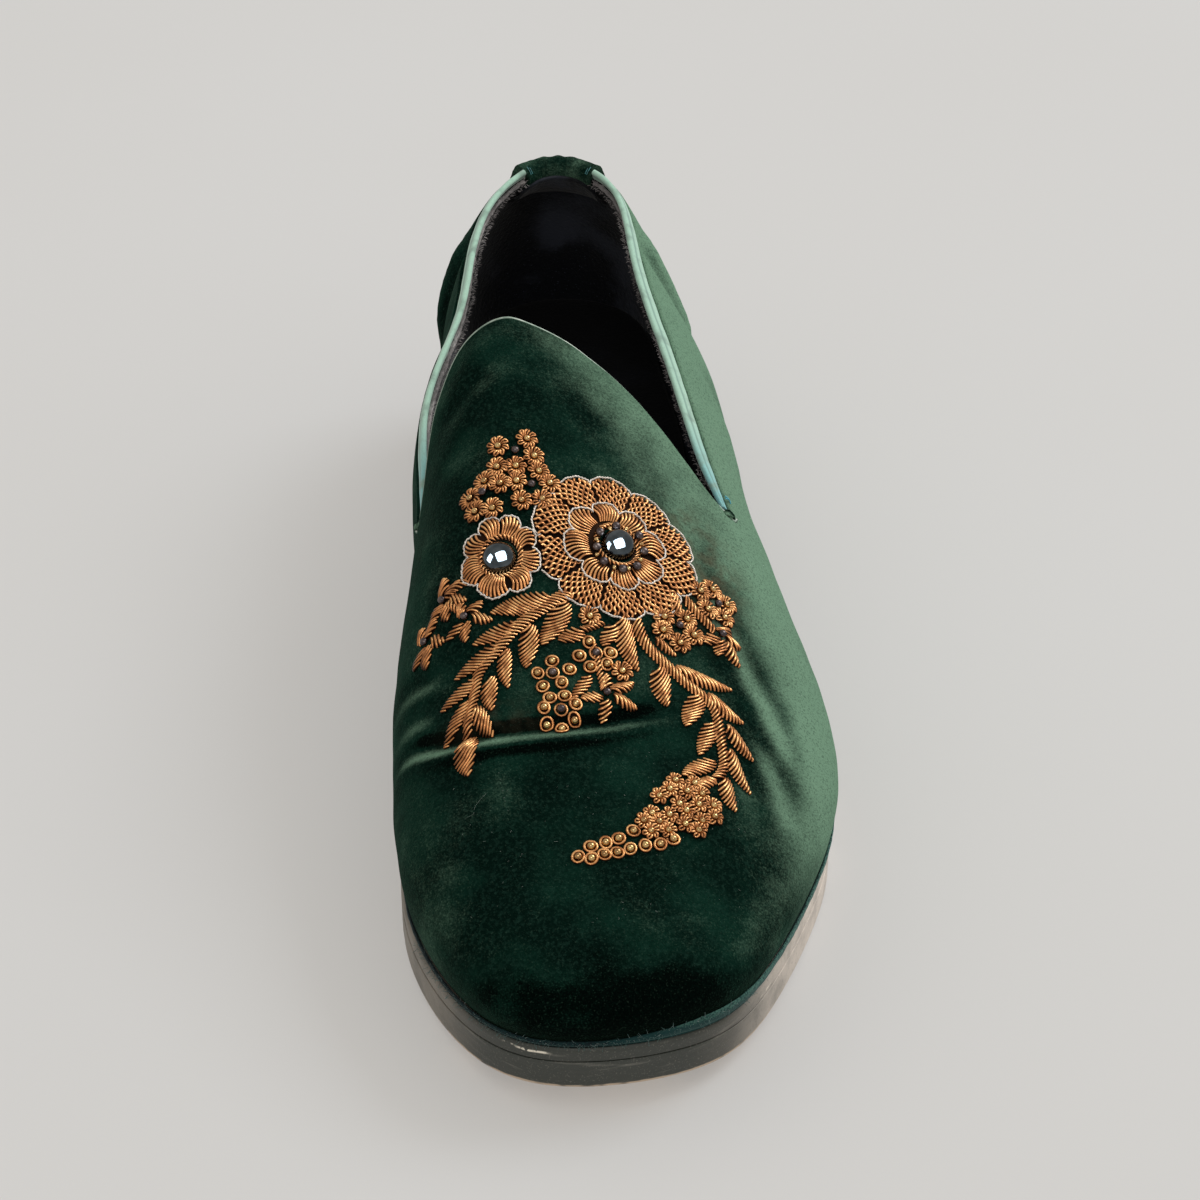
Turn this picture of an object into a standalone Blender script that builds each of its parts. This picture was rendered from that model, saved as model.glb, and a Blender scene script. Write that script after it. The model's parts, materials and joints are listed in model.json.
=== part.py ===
"""Velvet slip-on loafer, left shoe: a hollow upper on a layered sole with a low stacked heel.

The row frame is in metres, +Z up, toe towards -Y and the outer side of the foot towards +X.
A last maker's measures are used inside: x across the foot, `back` along it from the heel, z above
the ground, all in millimetres. `ring` runs round the foot: 0 at the toe, 12 at the back of the
heel by way of the inner side, and on to 24, the toe again, by way of the outer side.
"""

import math
from typing import NamedTuple

import bmesh
import bpy
import numpy as np
from mathutils import Matrix, Vector

MM = 0.001

# Driving sizes of the last, in mm.
FOOT_LENGTH = 292.0
BALL_WIDTH = 103.5
INSTEP_HEIGHT = 102.5
HEEL_HEIGHT = 20.0
TOE_SPRING = 6.8

# Thicknesses and clearances, in mm.
OUTSOLE = 8.0
MIDSOLE = 4.0
INSOLE = 3.0
WALL = 2.4
HEEL_LIFT = 5.0
GAP = 0.3

# The sole stands this far outside the edge of the foot.
OUTSOLE_EDGE = 2.2
MIDSOLE_EDGE = 1.8
LASTING_MARGIN = 9.0
INSOLE_INSET = 4.2
FOOT_ROUNDING = 0.02
# Rise at which a section stands out by its full bulge.
BULGE_RISE = 0.3
# Rise at the toe where the lower wall and the vamp meet.
MEETING_RISE = 0.5
# The toe top, where the sections fan out, is blended over this radius in mm.
TOE_BLEND = 22.0
TOE_BLEND_STEPS = 6

# Where the underside of the sole changes, as shares of the foot's length from the heel.
HEEL_SEAT_END = 0.212
BALL_START = 0.634
SPRING_START = 0.77
HEEL_BREAST = 0.226

# The row frame's origin in the last's measures: middle of the shoe, on the ground.
MIDDLE_X = 3.4
MIDDLE_BACK = FOOT_LENGTH / 2

RINGS = 24
HEEL_RING = 12
NOTCH_RING = 6


class Rib(NamedTuple):
    """One section of the last, from the foot's edge on each side up to the ridge of the instep.

    Edges and ridge are shares of the driving sizes; a bulge is how far, in mm, the wall stands
    out past the foot's edge near the ground; a crown is how much of the way to the ridge is
    flat; rise is how steeply the wall leaves the sole.
    """

    edge_back_in: float
    edge_x_in: float
    edge_back_out: float
    edge_x_out: float
    ridge_back: float
    ridge_x: float
    ridge_height: float
    bulge_in: float
    bulge_out: float
    crown_in: float
    crown_out: float
    rise: float


RIBS = (
    Rib(1.00, -0.06, 1.00, -0.06, 0.88, -0.04, 0.45, 0.0, 0.0, 0.60, 0.60, 0.60),
    Rib(0.98, -0.24, 0.98, 0.18, 0.87, -0.07, 0.46, 1.0, 0.0, 0.60, 0.60, 0.60),
    Rib(0.92, -0.36, 0.92, 0.33, 0.84, -0.11, 0.49, 1.5, 0.0, 0.65, 0.60, 0.60),
    Rib(0.83, -0.44, 0.83, 0.45, 0.79, -0.15, 0.54, 2.0, 0.0, 0.70, 0.60, 0.60),
    Rib(0.73, -0.45, 0.73, 0.53, 0.71, -0.18, 0.62, 3.0, 0.0, 0.80, 0.60, 0.50),
    Rib(0.62, -0.42, 0.62, 0.50, 0.62, -0.20, 0.75, 5.0, 2.0, 0.90, 0.55, 0.45),
    Rib(0.51, -0.36, 0.51, 0.42, 0.51, -0.19, 0.89, 6.5, 3.5, 1.00, 0.45, 0.40),
    Rib(0.39, -0.34, 0.39, 0.36, 0.40, -0.17, 1.00, 8.0, 3.0, 0.85, 0.15, 0.40),
    Rib(0.27, -0.30, 0.27, 0.34, 0.31, -0.14, 1.02, 6.0, 1.5, 0.30, 0.05, 0.40),
    Rib(0.17, -0.29, 0.17, 0.31, 0.23, -0.09, 1.02, 4.5, 0.0, 0.40, 0.30, 0.40),
    Rib(0.08, -0.27, 0.08, 0.28, 0.17, -0.04, 1.01, 1.5, -2.5, 0.60, 0.65, 0.40),
    Rib(0.02, -0.17, 0.02, 0.18, 0.13, 0.00, 1.00, 1.5, -2.0, 0.60, 0.65, 0.40),
    Rib(0.00, 0.00, 0.00, 0.00, 0.11, 0.00, 1.00, 0.0, 0.0, 0.55, 0.55, 0.45),
)


class Level(NamedTuple):
    """A point of the upper's edge seen from the side, in mm."""

    back: float
    height: float


# The collar falls from the heel to the notch at each side, and the tongue rises from there.
COLLAR = (Level(-12, 86.5), Level(6, 86), Level(35, 82), Level(65, 77), Level(95, 71.5),
          Level(125, 65.5), Level(150, 58.5))
TONGUE = (Level(150, 58.5), Level(147, 65), Level(137.5, 73.5), Level(127.5, 83),
          Level(121.5, 91), Level(119, 96), Level(118, 102), Level(117.5, 112))

# Collar piping: half width across the strip, half thickness, and how it thins into the notch.
PIPING_HALF_WIDTH = 2.3
PIPING_HALF_THICKNESS = 1.1
PIPING_TIP_SHARE = 0.25
PIPING_TAPER = 16.0
PIPING_TIP_STEP = 0.10

# Heel tab: half width round the heel as a share of one ring step, legs and thickness in mm.
TAB_HALF_RING = 0.85
TAB_OUTER_LEG = 24.0
TAB_INNER_LEG = 5.0
TAB_THICKNESS = 1.9
TAB_GAP = 0.55
TAB_CORNER = 0.45

# Velvet-covered strip round the foot of the upper.
RAND_LOW = 0.3
RAND_HIGH = 4.6
RAND_THICKNESS = 1.0
RAND_GAP = 0.4


class Bead(NamedTuple):
    """A polished dome on the vamp: where it sits on the last and its half width and height."""

    name: str
    ring: float
    rise: float
    half_width: float
    height: float


BEADS = (
    Bead("cabochon_large", 18.9, 0.78, 4.3, 4.0),
    Bead("cabochon_small", 4.9, 0.97, 4.2, 3.9),
)


def spline(knots, at, closed=False):
    """Cubic spline through the rows of knots, one unit apart, read at each value of at."""
    knots = np.asarray(knots, float)
    count = len(knots)
    system = 4 * np.eye(count) + np.eye(count, k=1) + np.eye(count, k=-1)
    second = np.roll(knots, -1, 0) - 2 * knots + np.roll(knots, 1, 0)
    if closed:
        system[0, -1] = system[-1, 0] = 1
    else:
        system[0] = system[-1] = 0
        system[0, 0] = system[-1, -1] = 1
        second[0] = second[-1] = 0
    bend = np.linalg.solve(system, second)
    at = np.asarray(at, float)
    at = at % count if closed else np.clip(at, 0, count - 1 - 1e-9)
    first = np.floor(at).astype(int)
    last = (first + 1) % count
    f = (at - first)[..., None]
    g = 1 - f
    return g * knots[first] + f * knots[last] + (g**3 - g) * bend[first] + (f**3 - f) * bend[last]


def ring_table():
    """The ribs as one ring: edge x and back, ridge x, back and z, bulge, crown, rise, ridge pitch."""
    inner = [
        (rib.edge_x_in * BALL_WIDTH, rib.edge_back_in * FOOT_LENGTH, rib.ridge_x * BALL_WIDTH,
         rib.ridge_back * FOOT_LENGTH, rib.ridge_height * INSTEP_HEIGHT,
         rib.bulge_in, rib.crown_in, rib.rise)
        for rib in RIBS
    ]
    outer = [
        (rib.edge_x_out * BALL_WIDTH, rib.edge_back_out * FOOT_LENGTH, rib.ridge_x * BALL_WIDTH,
         rib.ridge_back * FOOT_LENGTH, rib.ridge_height * INSTEP_HEIGHT,
         rib.bulge_out, rib.crown_out, rib.rise)
        for rib in RIBS[-2:0:-1]
    ]
    ring = np.array(inner + outer)
    places = np.arange(HEEL_RING + 1.0)
    ahead = spline(ring, np.minimum(places + 0.2, HEEL_RING), closed=True)
    behind = spline(ring, np.maximum(places - 0.2, 0), closed=True)
    pitch = (ahead - behind)[:, 4] / (ahead - behind)[:, 3]
    return np.column_stack([ring, np.r_[pitch, pitch[-2:0:-1]]])


RING_TABLE = ring_table()
COLLAR_LINE = spline(COLLAR, np.linspace(0, len(COLLAR) - 1, 61))
TONGUE_LINE = spline(TONGUE, np.linspace(0, len(TONGUE) - 1, 29))


def underside(back):
    """Height of the outsole's underside: flat at the heel and the ball, sprung at the toe."""
    share = np.asarray(back, float) / FOOT_LENGTH
    fall = np.clip((share - HEEL_SEAT_END) / (BALL_START - HEEL_SEAT_END), 0, 1)
    lift = np.clip((share - SPRING_START) / (1 - SPRING_START), 0, None)
    return HEEL_HEIGHT * (1 - fall * fall * (3 - 2 * fall)) + TOE_SPRING * lift**2


def foot_edge(ring, outside=0.0):
    """Plan points (x, back) of the foot's edge, moved outwards by a distance."""
    ring = np.asarray(ring, float)
    here = spline(RING_TABLE, ring, closed=True)[..., :2]
    ahead = spline(RING_TABLE, ring + 0.01, closed=True)[..., :2]
    behind = spline(RING_TABLE, ring - 0.01, closed=True)[..., :2]
    along = ahead - behind
    normal = np.stack([along[..., 1], -along[..., 0]], -1)
    normal /= np.linalg.norm(normal, axis=-1, keepdims=True)
    return here + outside * normal


def wall(ring, rise):
    """Points (x, back, z) of the upper's outer surface, from the foot (rise 0) to the ridge (1)."""
    ring, t = np.broadcast_arrays(np.asarray(ring, float), np.asarray(rise, float))
    x, back, ridge_x, ridge_back, ridge_z, bulge, crown, steep, pitch = np.moveaxis(
        spline(RING_TABLE, ring, closed=True), -1, 0
    )
    foot_z = underside(back) + OUTSOLE + MIDSOLE + GAP
    reach = np.hypot(ridge_x - x, ridge_back - back)
    height = ridge_z - foot_z
    shoulder = reach * (1 - crown)
    droop = crown * pitch * (ridge_back - back)
    held = 3 * (1 - BULGE_RISE) * BULGE_RISE**2 * shoulder + BULGE_RISE**3 * reach
    swell = (bulge + held) / (3 * (1 - BULGE_RISE) ** 2 * BULGE_RISE)
    low, high, top = 3 * (1 - t) ** 2 * t, 3 * (1 - t) * t * t, t**3
    inwards = (-swell * low + shoulder * high + reach * top) / reach
    z = foot_z + height * (steep * low + high + top) - droop * high
    return np.stack([x + inwards * (ridge_x - x), back + inwards * (ridge_back - back), z], -1)


def crossing(values, at):
    """Where rising values first pass zero, read between the samples of at."""
    after = max(1, int(np.argmax(values > 0)))
    before = after - 1
    share = values[before] / (values[before] - values[after])
    return at[before] + share * (at[after] - at[before])


def over_collar(points):
    """How far points lie above the line of the collar, seen from the side."""
    return points[..., 2] - np.interp(points[..., 1], COLLAR_LINE[:, 0], COLLAR_LINE[:, 1])


def collar_rise(ring):
    """Rise at which the wall reaches the collar."""
    rises = np.linspace(0, 1, 401)
    return crossing(over_collar(wall(ring, rises)), rises)


def tongue_step(rise, outer):
    """How many rings behind the notch the tongue's edge lies at a rise."""
    steps = np.linspace(0, 2, 401)
    rings = RINGS - NOTCH_RING - steps if outer else NOTCH_RING + steps
    points = wall(rings, rise)
    edge = np.interp(points[:, 2], TONGUE_LINE[:, 1], TONGUE_LINE[:, 0])
    return crossing(edge - points[:, 1], steps)


def on_wall(ring, up, out, from_edge=True):
    """A point at a distance up the wall from the velvet's edge, or from the foot, and out of it."""
    lines = wall(np.array([[ring - 0.02], [ring], [ring + 0.02]]), np.linspace(0, 1, 241))
    line = lines[1]
    along = np.r_[0, np.cumsum(np.linalg.norm(np.diff(line, axis=0), axis=1))]
    place = up + (crossing(over_collar(line), along) if from_edge else 0.0)
    point = np.array([np.interp(place, along, line[:, k]) for k in range(3)])
    near = np.clip(np.searchsorted(along, place), 2, len(line) - 3)
    normal = np.cross(line[near + 2] - line[near - 2], lines[2, near] - lines[0, near])
    normal /= np.linalg.norm(normal)
    if normal[:2] @ (line[0] - line[-1])[:2] < 0:
        normal = -normal
    return point + out * normal


def to_row(points):
    """Last measures (x, back, z) in mm to the row frame in metres."""
    points = np.asarray(points, float)
    moved = [points[..., 0] - MIDDLE_X, MIDDLE_BACK - points[..., 1], points[..., 2]]
    return np.stack(moved, -1) * MM


def new_object(name, mesh_maker, group, look):
    """A mesh object from a bmesh, shaded smooth, in a collection and with a material."""
    mesh = bpy.data.meshes.new(name)
    mesh_maker.to_mesh(mesh)
    mesh_maker.free()
    mesh.shade_smooth()
    mesh.set_sharp_from_angle(angle=math.radians(40))
    made = bpy.data.objects.new(name, mesh)
    group.objects.link(made)
    if look:
        mesh.materials.append(look)
    return made


def material(name, color, roughness, metallic=0.0):
    """A Principled material with one colour, roughness and metallic value."""
    made = bpy.data.materials.new(name)
    made.use_nodes = True
    shader = made.node_tree.nodes["Principled BSDF"]
    shader.inputs["Base Color"].default_value = (*color, 1)
    shader.inputs["Roughness"].default_value = roughness
    shader.inputs["Metallic"].default_value = metallic
    return made


def bevel(made, width, angle=50):
    """Rounds the sharp edges of an object."""
    rounded = made.modifiers.new("edges", "BEVEL")
    rounded.width = width * MM
    rounded.segments = 2
    rounded.limit_method = "ANGLE"
    rounded.angle_limit = math.radians(angle)


def layer(name, edge, top, thickness, group, look, rounding):
    """A layer of the sole: strips from side to side at the top, drawn down by its thickness."""
    maker = bmesh.new()
    rows = []
    for ring in np.linspace(0, HEEL_RING, 37):
        sides = edge(np.array([ring, RINGS - ring]))
        height = underside(sides[:, 1]) + top
        points = to_row(np.column_stack([sides, height]))
        ends = ring in (0, HEEL_RING)
        rows.append([maker.verts.new(point) for point in (points[:1] if ends else points)])
    faces = [maker.faces.new((a[0], b[0], *reversed(b[1:]), *reversed(a[1:])))
             for a, b in zip(rows, rows[1:])]
    bmesh.ops.recalc_face_normals(maker, faces=faces)
    drawn = bmesh.ops.extrude_face_region(maker, geom=faces)["geom"]
    lower = [item for item in drawn if isinstance(item, bmesh.types.BMVert)]
    bmesh.ops.translate(maker, verts=lower, vec=(0, 0, -thickness * MM))
    bmesh.ops.recalc_face_normals(maker, faces=maker.faces)
    made = new_object(name, maker, group, look)
    bevel(made, rounding)
    return made


def heel_outline():
    """Plan points of the heel: the sole's edge behind the breast, and the hollow breast."""
    ring = np.linspace(8, 16, 161)
    edge = foot_edge(ring, OUTSOLE_EDGE)
    behind = edge[edge[:, 1] < HEEL_BREAST * FOOT_LENGTH][::5]
    share = np.linspace(0, 1, 9)[1:-1, None]
    breast = behind[-1] * (1 - share) + behind[0] * share
    breast[:, 1] -= 3.0 * np.sin(math.pi * share[:, 0])
    return np.vstack([behind, breast])


def heel_slab(name, low, high, taper, group, look):
    """A slice of the heel between two heights, drawn in towards the ground by a taper."""
    outline = heel_outline()
    middle = outline.mean(0)
    maker = bmesh.new()
    rings = []
    for z in (low, high):
        share = 1 - taper * (HEEL_HEIGHT - z)
        plan = middle + (outline - middle) * share
        points = to_row(np.column_stack([plan, np.full(len(plan), z)]))
        rings.append([maker.verts.new(point) for point in points])
    join_rings(maker, rings, closed=False)
    made = new_object(name, maker, group, look)
    bevel(made, 0.6)
    return made


def join_rings(maker, rings, closed):
    """Skins the rings of vertices in order, round to the first again or with a cap at each end."""
    pairs = list(zip(rings, rings[1:] + rings[:1] if closed else rings[1:]))
    for a, b in pairs:
        for k in range(len(a)):
            n = (k + 1) % len(a)
            maker.faces.new((a[k], a[n], b[n], b[k]))
    if not closed:
        maker.faces.new(rings[0])
        maker.faces.new(rings[-1])
    bmesh.ops.recalc_face_normals(maker, faces=maker.faces)


def loft(name, sections, closed, group, look):
    """A solid skinned over closed sections given in the last's measures."""
    maker = bmesh.new()
    rings = [[maker.verts.new(point) for point in to_row(section)] for section in sections]
    join_rings(maker, rings, closed)
    return new_object(name, maker, group, look)


def add_grid(maker, points):
    """Adds a grid of points in the last's measures as quads."""
    verts = [[maker.verts.new(point) for point in row] for row in to_row(points)]
    for a, b in zip(verts, verts[1:]):
        for k in range(len(a) - 1):
            maker.faces.new((a[k], a[k + 1], b[k + 1], b[k]))


def quarter_and_vamp_grids(outer, columns, low_rows, high_rows, tongue_columns):
    """One side of the upper: the wall up to the collar or the notch, the vamp and the tongue."""
    rings = np.linspace(0, HEEL_RING, columns * 2 + 1)
    vamp = rings[rings <= NOTCH_RING]
    place = (lambda ring: RINGS - ring) if outer else (lambda ring: ring)
    notch = collar_rise(place(float(NOTCH_RING)))
    blend = np.clip(rings / NOTCH_RING, 0, 1)
    split = MEETING_RISE + (notch - MEETING_RISE) * blend * blend * (3 - 2 * blend)
    behind = rings > NOTCH_RING
    split[behind] = [collar_rise(place(ring)) for ring in rings[behind]]

    inset = [foot_edge(place(rings), -distance) for distance in (LASTING_MARGIN, 4.0, 1.2)]
    floor = [np.column_stack([p, underside(p[:, 1]) + OUTSOLE + MIDSOLE + GAP]) for p in inset]
    share = np.linspace(0, 1, low_rows) ** 1.1
    share[0] = FOOT_ROUNDING
    lower = wall(place(rings)[:, None], split[:, None] * share)
    quarter = np.concatenate([np.stack(floor, 1), lower], 1)

    share = np.linspace(0, 1, high_rows)
    front = split[: len(vamp), None]
    top = wall(place(vamp)[:, None], front + (1 - front) * share)

    rises = notch + (1 - notch) * share
    steps = np.array([tongue_step(rise, outer) for rise in rises])
    steps[0] = 0
    back = NOTCH_RING + steps * np.linspace(0, 1, tongue_columns)[:, None]
    tongue = wall(place(back), rises)
    return quarter, top, tongue


def build_upper(parts, look):
    """The hollow upper: its outer skin, open at collar and sole, given a wall of real thickness."""
    maker = bmesh.new()
    for outer in (False, True):
        for grid in quarter_and_vamp_grids(outer, 24, 9, 6, 6):
            add_grid(maker, grid)
    bmesh.ops.remove_doubles(maker, verts=maker.verts, dist=0.01 * MM)
    toe_top = Vector(to_row(wall(1.0, 1.0)))
    soft = [vert for vert in maker.verts if (vert.co - toe_top).length < TOE_BLEND * MM]
    for _ in range(TOE_BLEND_STEPS):
        bmesh.ops.smooth_vert(
            maker, verts=soft, factor=0.5, use_axis_x=True, use_axis_y=True, use_axis_z=True
        )
    bmesh.ops.recalc_face_normals(maker, faces=maker.faces)
    if max(maker.faces, key=lambda face: face.calc_center_median().z).normal.z < 0:
        bmesh.ops.reverse_faces(maker, faces=maker.faces)
    upper = new_object("upper", maker, parts, look)
    thick = upper.modifiers.new("wall", "SOLIDIFY")
    thick.thickness = WALL * MM
    thick.offset = -1
    thick.use_even_offset = True
    thick.use_quality_normals = True
    return upper


def piping_section(ring):
    """Eight points round the piping, standing on the velvet's edge and thinner at the notch."""
    ahead = (COLLAR[-1].back - on_wall(ring, 0, 0)[1]) / PIPING_TAPER
    share = min(1.0, PIPING_TIP_SHARE + (1 - PIPING_TIP_SHARE) * ahead)
    width = PIPING_HALF_WIDTH * share
    thickness = PIPING_HALF_THICKNESS * (0.5 + 0.5 * share)
    angles = np.arange(8) * math.tau / 8
    return [
        on_wall(ring, GAP + width + width * math.sin(a), thickness * math.cos(a) - WALL / 2)
        for a in angles
    ]


def build_piping(name, tab_ring, notch_ring, parts, look):
    """One side's collar piping, from the heel tab to the notch."""
    stations = np.linspace(tab_ring, notch_ring, 29)
    return loft(name, [piping_section(ring) for ring in stations], False, parts, look)


def tab_section(share, half_ring):
    """A hairpin section of the heel tab: down the outside, over the edge and down the inside."""
    ring = HEEL_RING + share * half_ring
    corner = max(0.0, (abs(share) - 1 + TAB_CORNER) / TAB_CORNER)
    leg = TAB_OUTER_LEG * (0.70 + 0.30 * math.sqrt(max(0.0, 1 - corner**2)))
    near, far = TAB_GAP, TAB_GAP + TAB_THICKNESS
    inner_near, inner_far = -WALL - TAB_GAP, -WALL - TAB_GAP - 0.8 * TAB_THICKNESS
    crest = PIPING_HALF_WIDTH + TAB_THICKNESS
    route = [
        (-leg, near), (-leg, far), (-0.66 * leg, far), (-0.33 * leg, far), (-0.5, far),
        (0.55 * crest, 0.65 * far), (crest, -WALL / 2), (0.55 * crest, 0.8 * inner_far),
        (-0.5, inner_far), (-TAB_INNER_LEG, inner_far), (-TAB_INNER_LEG, inner_near),
        (GAP, inner_near), (TAB_GAP, -WALL / 2), (GAP, near), (-0.33 * leg, near),
        (-0.66 * leg, near),
    ]
    return [on_wall(ring, up, out) for up, out in route]


def build_heel_tab(parts, look):
    """The velvet tab folded over the back of the collar."""
    shares = np.linspace(-1, 1, 15)
    sections = [tab_section(share, TAB_HALF_RING) for share in shares]
    return loft("heel_tab", sections, False, parts, look)


def rand_section(ring):
    """A section of the rand: up the wall just clear of it, and back down to the sole outside."""
    foot, ridge = wall(ring, 0.0), wall(ring, 1.0)
    level = np.array([*(foot - ridge)[:2], 0])
    level /= np.linalg.norm(level)
    low, middle, high = (
        on_wall(ring, up, RAND_GAP, from_edge=False) for up in (RAND_LOW, RAND_HIGH / 2, RAND_HIGH)
    )
    thickness = level * RAND_THICKNESS
    outside = low + thickness
    outside[2] += underside(outside[1]) - underside(low[1])
    return [low, middle, high, high + 0.5 * thickness, (high + middle) / 2 + thickness, outside]


def build_rand(parts, look):
    """The narrow strip that follows the foot of the upper all the way round."""
    sections = [rand_section(ring) for ring in np.arange(0, RINGS, 0.25)]
    return loft("rand", sections, True, parts, look)


def build_bead(bead, parts, look):
    """A dome cut from a sphere, set on the vamp along the surface's normal."""
    maker = bmesh.new()
    bmesh.ops.create_uvsphere(maker, u_segments=16, v_segments=10, radius=1)
    bmesh.ops.bisect_plane(
        maker, geom=[*maker.verts, *maker.edges, *maker.faces],
        plane_co=(0, 0, 0), plane_no=(0, 0, 1), clear_inner=True,
    )
    bmesh.ops.holes_fill(maker, edges=[edge for edge in maker.edges if edge.is_boundary])
    size = Vector((bead.half_width, bead.half_width, bead.height)) * MM
    bmesh.ops.scale(maker, verts=maker.verts, vec=size)
    bmesh.ops.recalc_face_normals(maker, faces=maker.faces)
    made = new_object(bead.name, maker, parts, look)
    rings = np.array([[bead.ring - 0.05], [bead.ring + 0.05]])
    around = wall(rings, np.array([bead.rise - 0.01, bead.rise + 0.01]))
    seat = to_row(around.mean((0, 1)))
    spans = to_row(around)
    normal = np.cross(spans[1, 0] - spans[0, 0], spans[0, 1] - spans[0, 0])
    normal = Vector(normal if normal[2] > 0 else -normal).normalized()
    made.matrix_world = (
        Matrix.Translation(Vector(seat) + normal * GAP * MM)
        @ normal.to_track_quat("Z", "Y").to_matrix().to_4x4()
    )
    return made


def main():
    """Clears the scene and builds every piece under one empty."""
    for old in list(bpy.data.objects):
        bpy.data.objects.remove(old)
    scene = bpy.context.scene
    parts = bpy.data.collections.new("velvet_loafer")
    scene.collection.children.link(parts)

    velvet = material("velvet", (0.012, 0.085, 0.055), 0.9)
    mint = material("mint_piping", (0.36, 0.62, 0.52), 0.7)
    edge_leather = material("sole_edge", (0.20, 0.18, 0.16), 0.45)
    sole_leather = material("sole_leather", (0.24, 0.21, 0.18), 0.6)
    lift_rubber = material("lift_rubber", (0.03, 0.03, 0.03), 0.7)
    lining = material("lining", (0.01, 0.012, 0.02), 0.95)
    metal_bead = material("gunmetal_bead", (0.35, 0.36, 0.38), 0.1, 1.0)

    build_upper(parts, velvet)
    build_heel_tab(parts, velvet)
    build_rand(parts, velvet)
    tab = TAB_HALF_RING + 0.06
    tip = NOTCH_RING + PIPING_TIP_STEP
    build_piping("collar_piping_medial", HEEL_RING - tab, tip, parts, mint)
    build_piping("collar_piping_lateral", HEEL_RING + tab, RINGS - tip, parts, mint)

    inner_top = OUTSOLE + MIDSOLE + WALL + 2 * GAP + INSOLE
    layer("insole", lambda ring: foot_edge(ring, -INSOLE_INSET), inner_top, INSOLE,
          parts, lining, 0.6)
    layer("midsole", lambda ring: foot_edge(ring, MIDSOLE_EDGE), OUTSOLE + MIDSOLE,
          MIDSOLE - GAP, parts, edge_leather, 0.8)
    layer("outsole", lambda ring: foot_edge(ring, OUTSOLE_EDGE), OUTSOLE, OUTSOLE,
          parts, sole_leather, 0.6)
    heel_slab("heel", HEEL_LIFT + GAP, HEEL_HEIGHT - GAP, 0.0008, parts, sole_leather)
    heel_slab("heel_lift", 0.0, HEEL_LIFT, 0.0008, parts, lift_rubber)
    for bead in BEADS:
        build_bead(bead, parts, metal_bead)

    centre = bpy.data.objects.new("loafer", None)
    parts.objects.link(centre)
    for piece in list(parts.objects):
        if piece is not centre:
            piece.parent = centre


main()
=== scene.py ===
"""Looks of the velvet slip-on loafer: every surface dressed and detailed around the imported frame.

The frame is in metres, +Z up, toe towards -Y and the outer side of the foot towards +X. Shapes
are worked out on the same last as the frame: x across the foot, `back` along it from the heel
and z above the ground, in millimetres. `ring` runs round the foot: 0 at the toe, 12 at the back
of the heel by way of the inner side, and 24, the toe again, by way of the outer side.
"""

import json
import logging
import math
from collections.abc import Iterable, Sequence
from dataclasses import dataclass, field
from enum import Enum
from functools import cached_property
from typing import Any, NamedTuple

import bmesh
import bpy
import numpy as np
from bpy.types import Material, Mesh, NodeSocket, NodeTree, Object
from mathutils import Matrix, Vector, noise
from mathutils.bvhtree import BVHTree

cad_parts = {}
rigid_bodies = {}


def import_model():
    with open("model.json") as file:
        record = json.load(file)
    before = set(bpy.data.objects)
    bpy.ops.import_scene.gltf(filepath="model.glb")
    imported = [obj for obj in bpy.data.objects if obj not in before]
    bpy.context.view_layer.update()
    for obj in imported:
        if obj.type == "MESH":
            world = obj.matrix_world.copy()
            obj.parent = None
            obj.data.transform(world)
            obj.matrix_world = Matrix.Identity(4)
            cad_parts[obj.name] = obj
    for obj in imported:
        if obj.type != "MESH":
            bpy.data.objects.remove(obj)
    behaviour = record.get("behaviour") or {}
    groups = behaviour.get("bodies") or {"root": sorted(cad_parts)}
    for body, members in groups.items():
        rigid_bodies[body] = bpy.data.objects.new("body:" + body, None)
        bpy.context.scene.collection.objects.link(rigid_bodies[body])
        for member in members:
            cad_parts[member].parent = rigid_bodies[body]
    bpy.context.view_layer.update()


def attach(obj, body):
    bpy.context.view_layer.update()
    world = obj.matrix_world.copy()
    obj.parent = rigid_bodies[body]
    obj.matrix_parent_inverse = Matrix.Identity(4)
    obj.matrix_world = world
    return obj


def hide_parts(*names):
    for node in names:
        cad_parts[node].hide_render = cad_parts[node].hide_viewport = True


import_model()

LOG = logging.getLogger("loafer")
MM = 0.001
RINGS = 24
HEEL_RING = 12
NOTCH_RING = 6
# Rise at which a section stands out by its full bulge.
BULGE_RISE = 0.3

Color = tuple[float, float, float]
Place = tuple[float, float]


class Side(Enum):
    """A side of the foot, with the sign of its x."""

    INNER = -1
    OUTER = 1

    @property
    def label(self) -> str:
        """The word for it in the names of pieces."""
        return "lateral" if self is Side.OUTER else "medial"

    def ring(self, ring: Any) -> Any:
        """Where this side has the station that the inner side has at a ring."""
        return RINGS - ring if self is Side.OUTER else ring


class Seen(Enum):
    """The direction a crease is charted from."""

    TOP = "top"
    INNER = "inner side"
    OUTER = "outer side"


# ---------------------------------------------------------------- the last


class Rib(NamedTuple):
    """One section of the last: foot edges and ridge as shares of the sizes, bulges in mm."""

    edge_back_in: float
    edge_x_in: float
    edge_back_out: float
    edge_x_out: float
    ridge_back: float
    ridge_x: float
    ridge_height: float
    bulge_in: float
    bulge_out: float
    crown_in: float
    crown_out: float
    rise: float


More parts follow.
